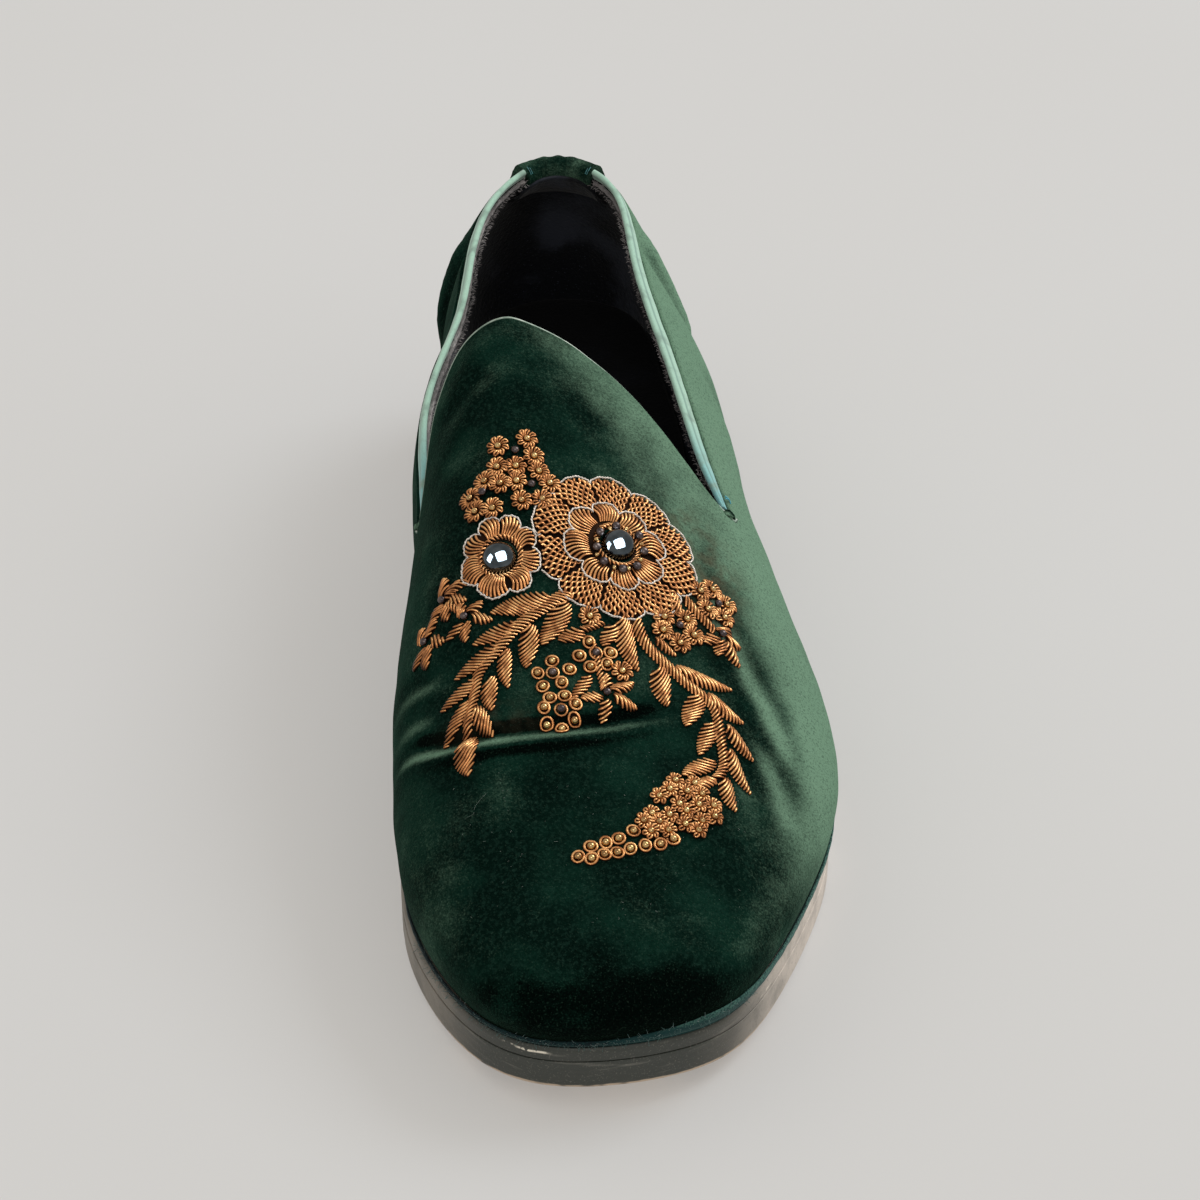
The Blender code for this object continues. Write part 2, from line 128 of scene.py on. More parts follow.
RIBS = (
    Rib(1.00, -0.06, 1.00, -0.06, 0.88, -0.04, 0.45, 0.0, 0.0, 0.60, 0.60, 0.60),
    Rib(0.98, -0.24, 0.98, 0.18, 0.87, -0.07, 0.46, 1.0, 0.0, 0.60, 0.60, 0.60),
    Rib(0.92, -0.36, 0.92, 0.33, 0.84, -0.11, 0.49, 1.5, 0.0, 0.65, 0.60, 0.60),
    Rib(0.83, -0.44, 0.83, 0.45, 0.79, -0.15, 0.54, 2.0, 0.0, 0.70, 0.60, 0.60),
    Rib(0.73, -0.45, 0.73, 0.53, 0.71, -0.18, 0.62, 3.0, 0.0, 0.80, 0.60, 0.50),
    Rib(0.62, -0.42, 0.62, 0.50, 0.62, -0.20, 0.75, 5.0, 2.0, 0.90, 0.55, 0.45),
    Rib(0.51, -0.36, 0.51, 0.42, 0.51, -0.19, 0.89, 6.5, 3.5, 1.00, 0.45, 0.40),
    Rib(0.39, -0.34, 0.39, 0.36, 0.40, -0.17, 1.00, 8.0, 3.0, 0.85, 0.15, 0.40),
    Rib(0.27, -0.30, 0.27, 0.34, 0.31, -0.14, 1.02, 6.0, 1.5, 0.30, 0.05, 0.40),
    Rib(0.17, -0.29, 0.17, 0.31, 0.23, -0.09, 1.02, 4.5, 0.0, 0.40, 0.30, 0.40),
    Rib(0.08, -0.27, 0.08, 0.28, 0.17, -0.04, 1.01, 1.5, -2.5, 0.60, 0.65, 0.40),
    Rib(0.02, -0.17, 0.02, 0.18, 0.13, 0.00, 1.00, 1.5, -2.0, 0.60, 0.65, 0.40),
    Rib(0.00, 0.00, 0.00, 0.00, 0.11, 0.00, 1.00, 0.0, 0.0, 0.55, 0.55, 0.45),
)

# The upper's edge from the side, as (back, height) in mm: heel to notch, then up the tongue.
COLLAR = ((-12, 86.5), (6, 86), (35, 82), (65, 77), (95, 71.5), (125, 65.5), (150, 58.5))
TONGUE = ((150, 58.5), (147, 65), (137.5, 73.5), (127.5, 83), (121.5, 91), (119, 96),
          (118, 102), (117.5, 112))


class Spline:
    """Cubic spline through rows of knots, one unit apart."""

    def __init__(self, knots: Any, closed: bool = False) -> None:
        """Solves for the bend at each knot."""
        self.knots = np.asarray(knots, float)
        self.closed = closed
        count = len(self.knots)
        system = 4 * np.eye(count) + np.eye(count, k=1) + np.eye(count, k=-1)
        second = np.roll(self.knots, -1, 0) - 2 * self.knots + np.roll(self.knots, 1, 0)
        if closed:
            system[0, -1] = system[-1, 0] = 1
        else:
            system[0] = system[-1] = 0
            system[0, 0] = system[-1, -1] = 1
            second[0] = second[-1] = 0
        self.bend = np.linalg.solve(system, second)

    def at(self, places: Any) -> np.ndarray:
        """The spline's rows at these places."""
        count = len(self.knots)
        at = np.asarray(places, float)
        at = at % count if self.closed else np.clip(at, 0, count - 1 - 1e-9)
        first = np.floor(at).astype(int)
        last = (first + 1) % count
        f = (at - first)[..., None]
        g = 1 - f
        bend = (g**3 - g) * self.bend[first] + (f**3 - f) * self.bend[last]
        return g * self.knots[first] + f * self.knots[last] + bend


def smooth_step(value: Any) -> np.ndarray:
    """An eased 0 to 1 as the value goes from 0 to 1."""
    eased = np.clip(value, 0, 1)
    return eased * eased * (3 - 2 * eased)


def ease(value: Any, start: float, end: float) -> np.ndarray:
    """An eased 0 to 1 as the value goes from start to end, either way round."""
    return smooth_step((value - start) / (end - start))


def unit(vectors: np.ndarray) -> np.ndarray:
    """Vectors brought to a length of 1."""
    return vectors / np.linalg.norm(vectors, axis=-1, keepdims=True)


def turns(count: int) -> np.ndarray:
    """Angles evenly round a circle, in radians."""
    return np.arange(count) * math.tau / count


def hump(value: Any, width: float) -> np.ndarray:
    """A soft hump: 1 at 0, and nearly 0 beyond twice the width."""
    return np.exp(-((value / width) ** 2))


def circle(centre: Place, radius: Any, angles: np.ndarray) -> np.ndarray:
    """(x, back) of points round a centre, at radii and at angles in radians."""
    around = np.column_stack([np.cos(angles), np.sin(angles)])
    return np.array(centre) + np.reshape(radius, (-1, 1)) * around


def crossing(values: np.ndarray, at: np.ndarray) -> float:
    """Where rising values first pass zero, read between the samples of at."""
    after = max(1, int(np.argmax(values > 0)))
    before = after - 1
    share = values[before] / (values[before] - values[after])
    return float(at[before] + share * (at[after] - at[before]))


class WallLine(NamedTuple):
    """One line up the upper's outer surface: points, outward normals, arc length, its edge."""

    points: np.ndarray
    normals: np.ndarray
    along: np.ndarray
    edge: float

    def at(self, up: Any, out: Any, from_edge: bool = True) -> np.ndarray:
        """Points at distances up from the velvet's edge, or from the foot, and out of the wall."""
        place = np.atleast_1d(np.asarray(up, float)) + (self.edge if from_edge else 0.0)
        out = np.broadcast_to(np.asarray(out, float), place.shape)[..., None]
        read = [np.interp(place, self.along, self.points[:, k]) for k in range(3)]
        turned = [np.interp(place, self.along, self.normals[:, k]) for k in range(3)]
        return np.stack(read, -1) + out * np.stack(turned, -1)


@dataclass(frozen=True)
class Last:
    """The maker's last and the thicknesses built round it, in mm."""

    foot_length: float = 292.0
    ball_width: float = 103.5
    instep_height: float = 102.5
    heel_height: float = 20.0
    toe_spring: float = 6.8
    outsole: float = 8.0
    midsole: float = 4.0
    gap: float = 0.3
    wall_thickness: float = 2.4
    middle_x: float = 3.4
    meeting_rise: float = 0.5
    lasting_margin: float = 9.0
    toe_blend: float = 22.0
    seat_end: float = 0.212
    ball_start: float = 0.634
    spring_start: float = 0.77

    @cached_property
    def ring(self) -> Spline:
        """Edge x and back, ridge x, back and z, bulge, crown, rise and pitch round the foot."""
        sizes = (self.ball_width, self.foot_length, self.instep_height)
        inner = [self.section(rib, Side.INNER, *sizes) for rib in RIBS]
        outer = [self.section(rib, Side.OUTER, *sizes) for rib in RIBS[-2:0:-1]]
        rows = np.array(inner + outer)
        line = Spline(rows, closed=True)
        places = np.arange(HEEL_RING + 1.0)
        ahead = line.at(np.minimum(places + 0.2, HEEL_RING))
        behind = line.at(np.maximum(places - 0.2, 0))
        pitch = (ahead - behind)[:, 4] / (ahead - behind)[:, 3]
        return Spline(np.column_stack([rows, np.r_[pitch, pitch[-2:0:-1]]]), closed=True)

    @staticmethod
    def section(rib: Rib, side: Side, width: float, length: float, height: float) -> tuple:
        """One side of a rib in mm."""
        ridge = (rib.ridge_x * width, rib.ridge_back * length, rib.ridge_height * height)
        if side is Side.INNER:
            edge = (rib.edge_x_in * width, rib.edge_back_in * length)
            return (*edge, *ridge, rib.bulge_in, rib.crown_in, rib.rise)
        edge = (rib.edge_x_out * width, rib.edge_back_out * length)
        return (*edge, *ridge, rib.bulge_out, rib.crown_out, rib.rise)

    @cached_property
    def collar_line(self) -> np.ndarray:
        """The collar as (back, height), from the heel to the notch."""
        return Spline(COLLAR).at(np.linspace(0, len(COLLAR) - 1, 61))

    @cached_property
    def tongue_line(self) -> np.ndarray:
        """The tongue's edge as (back, height), from the notch up."""
        return Spline(TONGUE).at(np.linspace(0, len(TONGUE) - 1, 29))

    @cached_property
    def lines(self) -> dict[float, WallLine]:
        """Wall lines already worked out, by ring."""
        return {}

    def underside(self, back: Any) -> np.ndarray:
        """Height of the outsole's underside: flat at heel and ball, sprung at the toe."""
        share = np.asarray(back, float) / self.foot_length
        fall = ease(share, self.seat_end, self.ball_start)
        lift = np.clip((share - self.spring_start) / (1 - self.spring_start), 0, None)
        return self.heel_height * (1 - fall) + self.toe_spring * lift**2

    def foot_edge(self, ring: Any, outside: float = 0.0) -> np.ndarray:
        """Plan points (x, back) of the foot's edge, moved outwards by a distance."""
        ring = np.asarray(ring, float)
        along = (self.ring.at(ring + 0.01) - self.ring.at(ring - 0.01))[..., :2]
        normal = unit(np.stack([along[..., 1], -along[..., 0]], -1))
        return self.ring.at(ring)[..., :2] + outside * normal

    def wall(self, ring: Any, rise: Any) -> np.ndarray:
        """Points (x, back, z) of the upper's outside, from the foot (rise 0) to the ridge (1)."""
        ring, t = np.broadcast_arrays(np.asarray(ring, float), np.asarray(rise, float))
        x, back, ridge_x, ridge_back, ridge_z, bulge, crown, steep, pitch = np.moveaxis(
            self.ring.at(ring), -1, 0
        )
        foot_z = self.underside(back) + self.outsole + self.midsole + self.gap
        reach = np.hypot(ridge_x - x, ridge_back - back)
        height = ridge_z - foot_z
        shoulder = reach * (1 - crown)
        droop = crown * pitch * (ridge_back - back)
        held = 3 * (1 - BULGE_RISE) * BULGE_RISE**2 * shoulder + BULGE_RISE**3 * reach
        swell = (bulge + held) / (3 * (1 - BULGE_RISE) ** 2 * BULGE_RISE)
        low, high, top = 3 * (1 - t) ** 2 * t, 3 * (1 - t) * t * t, t**3
        inwards = (-swell * low + shoulder * high + reach * top) / reach
        z = foot_z + height * (steep * low + high + top) - droop * high
        return np.stack(
            [x + inwards * (ridge_x - x), back + inwards * (ridge_back - back), z], -1
        )

    def over_collar(self, points: np.ndarray) -> np.ndarray:
        """How far points lie above the line of the collar, seen from the side."""
        return points[..., 2] - np.interp(points[..., 1], *self.collar_line.T)

    def collar_rise(self, ring: float) -> float:
        """Rise at which the wall reaches the collar."""
        rises = np.linspace(0, 1, 401)
        return crossing(self.over_collar(self.wall(ring, rises)), rises)

    def tongue_step(self, rise: float, side: Side) -> float:
        """How many rings behind the notch the tongue's edge lies at a rise."""
        steps = np.linspace(0, 2, 401)
        points = self.wall(side.ring(NOTCH_RING + steps), rise)
        edge = np.interp(points[:, 2], self.tongue_line[:, 1], self.tongue_line[:, 0])
        return crossing(edge - points[:, 1], steps)

    def tongue_edge(self, side: Side, count: int) -> tuple[np.ndarray, np.ndarray]:
        """The tongue's edge up to the ridge: how many rings behind the notch, and the rises."""
        notch = self.collar_rise(side.ring(NOTCH_RING))
        rises = notch + (1 - notch) * np.linspace(0, 1, count)
        steps = np.array([self.tongue_step(rise, side) for rise in rises])
        steps[0] = 0
        return steps, rises

    def line(self, ring: float) -> WallLine:
        """The wall line at a ring, kept for the next time."""
        key = round(float(ring), 6)
        if key not in self.lines:
            beside = self.wall(np.array([[key - 0.02], [key], [key + 0.02]]),
                               np.linspace(0, 1, 241))
            points = beside[1]
            normals = unit(np.cross(np.gradient(points, axis=0), beside[2] - beside[0]))
            outwards = (points[0] - points[-1])[:2]
            if normals[60, :2] @ outwards < 0:
                normals = -normals
            along = np.r_[0, np.cumsum(np.linalg.norm(np.diff(points, axis=0), axis=1))]
            edge = crossing(self.over_collar(points), along)
            self.lines[key] = WallLine(points, normals, along, edge)
        return self.lines[key]

    def to_row(self, points: Any) -> np.ndarray:
        """Last measures (x, back, z) in mm to the row frame in metres."""
        points = np.asarray(points, float)
        moved = (points[..., 0] - self.middle_x, self.foot_length / 2 - points[..., 1],
                 points[..., 2])
        return np.stack(moved, -1) * MM

    def from_row(self, points: np.ndarray) -> np.ndarray:
        """Points of the row frame in the last's measures."""
        return np.column_stack([points[:, 0] / MM + self.middle_x,
                                self.foot_length / 2 - points[:, 1] / MM, points[:, 2] / MM])


LAST = Last()


# ---------------------------------------------------------------- making meshes


def link(name: str, mesh: Mesh, finish: Material | None) -> Object:
    """An object for a mesh, in the scene and with its material.

    Args:
        name: The piece's name.
        mesh: The finished mesh, with its place in it.
        finish: The material, or None where the faces have theirs.

    Returns:
        The object.
    """
    made = bpy.data.objects.new(name, mesh)
    bpy.context.scene.collection.objects.link(made)
    if finish:
        mesh.materials.clear()
        mesh.materials.append(finish)
    return made


def finish_piece(made: Object, stands_for: Iterable[str] = ()) -> Object:
    """Sets a finished piece on its body and the nodes it stands for.

    Args:
        made: The finished piece.
        stands_for: Frame nodes that the piece is shown in place of.

    Returns:
        The same piece.
    """
    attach(made, "root")
    nodes = tuple(stands_for)
    if nodes:
        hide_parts(*nodes)
    triangles = sum(len(face.vertices) - 2 for face in made.data.polygons)
    LOG.info("%s: %d triangles", made.name, triangles)
    return made


def frozen(made: Object, name: str) -> Object:
    """The object's evaluated mesh as a plain piece with no modifiers, in its place.

    Args:
        made: The object with its modifiers; it is removed.
        name: The new piece's name.

    Returns:
        The plain piece.
    """
    graph = bpy.context.evaluated_depsgraph_get()
    graph.update()
    mesh = bpy.data.meshes.new_from_object(made.evaluated_get(graph))
    bpy.data.objects.remove(made)
    mesh.name = name
    return link(name, mesh, None)


def shade(mesh: Mesh, angle: float = 50) -> None:
    """Smooth shading with edges kept sharp above an angle in degrees."""
    mesh.shade_smooth()
    mesh.set_sharp_from_angle(angle=math.radians(angle))


class Sheet:
    """A mesh being gathered from grids and rings of points in the last's measures."""

    def __init__(self) -> None:
        """Starts empty."""
        self.maker = bmesh.new()

    def verts(self, rows: Iterable[np.ndarray]) -> list[list]:
        """New verts at rows of points in the row frame."""
        return [[self.maker.verts.new(p) for p in row] for row in rows]

    def join(self, rows: list[list], around: bool = False) -> None:
        """Joins each row of verts to the next with quads, round to the first vert or not."""
        for a, b in zip(rows, rows[1:]):
            for k in range(len(a) if around else len(a) - 1):
                n = (k + 1) % len(a)
                self.maker.faces.new((a[k], a[n], b[n], b[k]))

    def grid(self, points: np.ndarray) -> None:
        """Adds a grid of points in the last's measures."""
        self.join(self.verts(LAST.to_row(points)))

    def tube(self, sections: np.ndarray, closed: bool) -> None:
        """Skins closed sections in order, round to the first again or with two caps."""
        rings = self.verts(LAST.to_row(sections))
        self.join(rings + rings[:1] if closed else rings, around=True)
        if not closed:
            self.maker.faces.new(rings[0])
            self.maker.faces.new(rings[-1])

    def weld(self, distance: float = 0.01) -> None:
        """Joins points nearer than a distance in mm."""
        bmesh.ops.remove_doubles(self.maker, verts=self.maker.verts, dist=distance * MM)

    def soften_toe(self, steps: int) -> None:
        """Blends the top of the toe, where the sections fan out."""
        top = Vector(LAST.to_row(LAST.wall(1.0, 1.0)))
        soft = [v for v in self.maker.verts if (v.co - top).length < LAST.toe_blend * MM]
        for _ in range(steps):
            bmesh.ops.smooth_vert(self.maker, verts=soft, factor=0.5,
                                  use_axis_x=True, use_axis_y=True, use_axis_z=True)

    def done(self, name: str, open_sheet: bool = False) -> Mesh:
        """The gathered mesh, its faces pointing out.

        Args:
            name: The mesh's name.
            open_sheet: Whether it is open, when its highest face has to look up.

        Returns:
            The mesh, shaded smooth.
        """
        bmesh.ops.recalc_face_normals(self.maker, faces=self.maker.faces)
        if open_sheet:
            highest = max(self.maker.faces, key=lambda face: face.calc_center_median().z)
            if highest.normal.z < 0:
                bmesh.ops.reverse_faces(self.maker, faces=self.maker.faces)
        mesh = bpy.data.meshes.new(name)
        self.maker.to_mesh(mesh)
        self.maker.free()
        shade(mesh)
        return mesh


def values_of(items: Any, key: str) -> np.ndarray:
    """What a mesh's items hold under a key, as rows of three."""
    flat = np.empty(len(items) * 3, np.float32)
    items.foreach_get(key, flat)
    return flat.reshape(-1, 3).astype(float)


def coordinates(mesh: Mesh) -> np.ndarray:
    """The mesh's points as an array."""
    return values_of(mesh.vertices, "co")


def move_to(mesh: Mesh, points: np.ndarray) -> None:
    """Puts the mesh's points at new places."""
    mesh.vertices.foreach_set("co", points.astype(np.float32).ravel())
    mesh.update()


def normals_of(mesh: Mesh) -> np.ndarray:
    """The mesh's point normals as an array."""
    return values_of(mesh.vertex_normals, "vector")


def paint(mesh: Mesh, name: str, values: np.ndarray) -> None:
    """Stores one number a point as an attribute that a finish reads."""
    layer = mesh.attributes.new(name, "FLOAT", "POINT")
    layer.data.foreach_set("value", np.asarray(values, np.float32))


def painted(mesh: Mesh, name: str) -> np.ndarray:
    """The values of an attribute at each point."""
    values = np.empty(len(mesh.vertices), np.float32)
    mesh.attributes[name].data.foreach_get("value", values)
    return values


def roughly(points: np.ndarray, size: float, seed: float = 0.0) -> np.ndarray:
    """Smooth noise from -1 to 1 at each point.

    Args:
        points: Points in metres.
        size: Size of the noise's features in mm.
        seed: Shift that makes the noise another one.

    Returns:
        One value a point.
    """
    scale = 1 / (size * MM)
    shift = Vector((seed, seed * 0.7, -seed))
    return np.array([noise.noise(Vector(p) * scale + shift) for p in points])


def skinned(name: str, sections: Sequence[np.ndarray], closed: bool = False) -> Mesh:
    """A mesh skinned over sections in the last's measures."""
    sheet = Sheet()
    sheet.tube(np.array(sections), closed)
    return sheet.done(name)


def roughen(mesh: Mesh, *layers: tuple[float, float, float], share: Any = 1.0,
            axes: Any = 1.0) -> np.ndarray:
    """Moves a mesh's points along their normals by layers of noise.

    Args:
        mesh: The mesh.
        layers: Depth in mm, size in mm and seed of each layer.
        share: Share of the movement at each point, or at all of them.
        axes: Share of the movement on each axis, or on all of them.

    Returns:
        The points as they were.
    """
    points = coordinates(mesh)
    moved = sum(depth * roughly(points, size, seed) for depth, size, seed in layers) * MM * share
    move_to(mesh, points + normals_of(mesh) * axes * moved[:, None])
    return points


# ---------------------------------------------------------------- finishes


class Nodes:
    """A node tree being written."""

    tree: NodeTree

    def node(self, kind: str, sockets: dict | None = None, **settings: Any) -> Any:
        """Adds a node with its settings, and its sockets linked or set."""
        made = self.tree.nodes.new(kind)
        for key, value in settings.items():
            setattr(made, key, value)
        for key, value in (sockets or {}).items():
            self.feed(made.inputs[key], value)
        return made

    def feed(self, socket: NodeSocket, value: Any) -> None:
        """Links a socket to another, or sets its value."""
        if isinstance(value, NodeSocket):
            self.tree.links.new(value, socket)
        elif isinstance(value, tuple) and socket.type == "RGBA":
            socket.default_value = (*value, 1)
        else:
            socket.default_value = value


class Graph(Nodes):
    """A material's nodes, with short ways to write patterns on the piece's own coordinates."""

    def __init__(self, name: str) -> None:
        """Starts a material with one Principled shader."""
        self.material = bpy.data.materials.new(name)
        self.material.use_nodes = True
        self.tree = self.material.node_tree
        self.shader = self.tree.nodes["Principled BSDF"]
        self.place = self.node("ShaderNodeTexCoord").outputs["Object"]

    def noise(self, size: float, detail: float = 2, stretch: tuple | None = None) -> NodeSocket:
        """Noise whose features are about a size in mm, drawn out by a stretch."""
        place = self.place
        if stretch:
            place = self.node("ShaderNodeMapping", {"Vector": place, "Scale": stretch}).outputs[0]
        sockets = {"Vector": place, "Scale": 1 / (size * MM), "Detail": detail}
        return self.node("ShaderNodeTexNoise", sockets).outputs[0]

    def painted(self, name: str) -> NodeSocket:
        """An attribute painted on the piece."""
        return self.node("ShaderNodeAttribute", attribute_name=name).outputs["Fac"]

    def axis(self, index: int) -> NodeSocket:
        """One of the piece's own coordinates, in metres."""
        return self.node("ShaderNodeSeparateXYZ", {0: self.place}).outputs[index]

    def rise(self, value: Any, low: float, high: float) -> NodeSocket:
        """An eased 0 to 1 as the value goes from low to high, either way round."""
        flipped = low > high
        sockets = {"Value": value, "From Min": min(low, high), "From Max": max(low, high),
                   "To Min": float(flipped), "To Max": float(not flipped)}
        kind = {"interpolation_type": "SMOOTHSTEP"}
        return self.node("ShaderNodeMapRange", sockets, **kind).outputs[0]

    def math(self, operation: str, *values: Any) -> NodeSocket:
        """A Math node."""
        sockets = dict(enumerate(values))
        return self.node("ShaderNodeMath", sockets, operation=operation).outputs[0]

    def mix(self, share: Any, first: Any, second: Any, blend: str = "MIX") -> NodeSocket:
        """One colour over another."""
        sockets = {0: share, 6: first, 7: second}
        settings = {"data_type": "RGBA", "blend_type": blend}
        return self.node("ShaderNodeMix", sockets, **settings).outputs[2]

    def over(self, color: Any, other: Any, pattern: Any, low: float, high: float,
             most: float = 1.0) -> NodeSocket:
        """A colour with another over it, by up to a share, as a pattern goes low to high."""
        share = self.rise(pattern, low, high)
        if most < 1:
            share = self.math("MULTIPLY", share, most)
        return self.mix(share, color, other)

    def blend(self, share: Any, first: float, second: float) -> NodeSocket:
        """A number between two, by a share from 0 to 1."""
        sockets = {"Value": share, "To Min": first, "To Max": second}
        return self.node("ShaderNodeMapRange", sockets).outputs[0]

    def line(self, across: NodeSocket, middle: float, half: float) -> NodeSocket:
        """1 on a line of a half width in metres, fading to 0 beside it."""
        away = self.math("ABSOLUTE", self.math("SUBTRACT", across, middle))
        return self.rise(away, half, half * 0.3)

    def within(self, value: NodeSocket, low: float, high: float, soft: float) -> NodeSocket:
        """1 between two values in metres, fading to 0 over a soft distance."""
        return self.math("MULTIPLY", self.rise(value, low - soft, low + soft),
                         self.rise(value, high + soft, high - soft))

    def bump(self, *heights: tuple) -> NodeSocket:
        """A normal from (height, depth in mm) pairs, one over the other."""
        normal = None
        for height, depth in heights:
            sockets = {"Height": height, "Distance": depth * MM, "Strength": 1.0}
            if normal:
                sockets["Normal"] = normal
            normal = self.node("ShaderNodeBump", sockets).outputs[0]
        return normal

    def dress(self, **sockets: Any) -> Material:
        """Feeds the shader's sockets, named in lower case with underscores, and gives the material."""
        names = {socket.name.lower().replace(" ", "_"): socket for socket in self.shader.inputs}
        for key, value in sockets.items():
            self.feed(names[key], value)
        return self.material


@dataclass(frozen=True)
class Velvet:
    """Cotton velvet, dark into the pile, with pale patches of brushing: painted light where it and its fold
    ridges face the key light, painted shade where it faces the toe.
    """

    name: str = "velvet_green"
    deep: Color = (0.0009, 0.0068, 0.0046)
    green: Color = (0.0032, 0.0205, 0.0132)
    tuft: Color = (0.0110, 0.0360, 0.0255)
    # Painted shade, on faces turned to the toe.
    shade: Color = (0.0002, 0.0016, 0.0011)
    # Painted light where the velvet faces the key light, and also the pale pile of brushing.
    brushed_and_lit: Color = (0.150, 0.258, 0.176)
    worn: Color = (0.075, 0.062, 0.038)
    sheen: Color = (0.35, 0.75, 0.52)
    sheen_weight: float = 0.09
    sheen_roughness: float = 0.30

    def material(self) -> Material:
        """The velvet as a material, painted lighter and darker as its `nap_and_light` attribute says."""
        g = Graph(self.name)
        cloud = g.noise(17, 4)
        streak = g.noise(7, 3, (0.45, 1.5, 1.0))
        fleck, grain = g.noise(0.42, 2), g.noise(1.1, 3)
        pile = g.over(self.deep, self.green, cloud, 0.40, 0.66)
        nap_and_light = g.painted("nap_and_light")
        for pattern, reach in ((cloud, 0.30), (streak, 0.26), (grain, 0.30), (fleck, 0.50)):
            shift = g.math("MULTIPLY", g.math("SUBTRACT", pattern, 0.5), reach)
            nap_and_light = g.math("ADD", nap_and_light, shift)
        pile = g.over(pile, self.tuft, g.noise(0.9, 2), 0.45, 0.68, 0.42)
        # Painted shade where nap_and_light is below zero; painted light in the pale pile colour as it
        # rises.
        pile = g.over(pile, self.shade, nap_and_light, -0.05, -0.50)
        color = g.over(pile, self.brushed_and_lit, nap_and_light, 0.02, 1.0)
        worn = g.math("MULTIPLY", g.painted("worn"), g.rise(g.noise(5, 3), 0.35, 0.62))
        color = g.mix(worn, color, self.worn)
        color = g.over(color, g.mix(0.30, color, self.brushed_and_lit), fleck, 0.58, 0.74, 0.22)
        color = g.over(color, g.mix(0.30, self.deep, color), g.noise(0.6, 2), 0.50, 0.34, 0.55)
        normal = g.bump((fleck, 0.30), (g.noise(3.0, 3), 0.30))
        return g.dress(base_color=color, roughness=0.98, specular_ior_level=0.02, normal=normal,
                       sheen_weight=self.sheen_weight, sheen_roughness=self.sheen_roughness,
                       sheen_tint=self.sheen)


@dataclass(frozen=True)
class RandVelvet:
    """The strip at the foot of the upper: dark teal velvet, with bright frayed threads."""

    name: str = "velvet_teal"
    deep: Color = (0.0014, 0.0045, 0.0075)
    teal: Color = (0.0060, 0.034, 0.034)
    # Painted highlight along the top of the strip on the outer side.
    rim: Color = (0.055, 0.135, 0.110)

    def material(self) -> Material:
        """The strip as a material, with painted light where its `bright` attribute says and a painted
        highlight along its top where `rim` says.
        """
        g = Graph(self.name)
        fibre = g.noise(0.5, 3)
        bright = g.painted("bright")
        share = g.math("ADD", bright, g.math("MULTIPLY", g.math("SUBTRACT", fibre, 0.5), 0.9))
        color = g.over(self.deep, self.teal, share, 0.05, 0.65)
        color = g.mix(g.math("MULTIPLY", g.painted("rim"), g.rise(fibre, 0.35, 0.6)), color, self.rim)
        normal = g.bump((fibre, 0.12), (g.noise(2.2, 2), 0.25))
        return g.dress(base_color=color, roughness=0.85, specular_ior_level=0.2, normal=normal,
                       sheen_weight=0.2, sheen_roughness=0.4, sheen_tint=(0.35, 0.60, 0.55))


@dataclass(frozen=True)
class Binding:
    """Pale mint woven binding of the collar, bluer where it runs into the notch."""

    name: str = "binding_mint"
    mint: Color = (0.36, 0.56, 0.45)
    blue: Color = (0.20, 0.47, 0.49)
    soiled: Color = (0.22, 0.33, 0.27)

    def material(self) -> Material:
        """The binding as a material."""
        g = Graph(self.name)
        color = g.mix(g.painted("notch"), self.mint, self.blue)
        color = g.over(color, self.soiled, g.noise(6, 3), 0.50, 0.72)
        color = g.mix(g.math("MULTIPLY", g.painted("groove"), 0.8), color, (0.10, 0.20, 0.17))
        weave = g.noise(0.35, 1, (1.0, 0.5, 1.0))
        color = g.over(color, self.soiled, weave, 0.5, 0.7, 0.25)
        return g.dress(base_color=color, roughness=0.82, specular_ior_level=0.25,
                       normal=g.bump((weave, 0.06), (g.noise(2.5, 2), 0.10)),
                       sheen_weight=0.25, sheen_roughness=0.5)


@dataclass(frozen=True)
class Felt:
    """A matted cloth: the navy lining, the grey raw edge or the insole's sock."""

    name: str
    dark: Color
    pale: Color
    fuzz: float = 0.25
    sheen: float = 0.3

    def material(self) -> Material:
        """The cloth as a material."""
        g = Graph(self.name)
        mat = g.noise(1.1, 4)
        wear = g.noise(22, 3)
        share = g.math("ADD", g.rise(wear, 0.35, 0.75), g.math("MULTIPLY", mat, 0.5))
        color = g.over(self.dark, self.pale, share, 0.35, 1.25)
        color = g.over(color, self.pale, g.noise(0.5, 1), 0.66, 0.78)
        return g.dress(base_color=color, roughness=0.95, specular_ior_level=0.1,
                       normal=g.bump((mat, self.fuzz), (g.noise(0.4, 2), 0.1)),
                       sheen_weight=self.sheen, sheen_roughness=0.5)


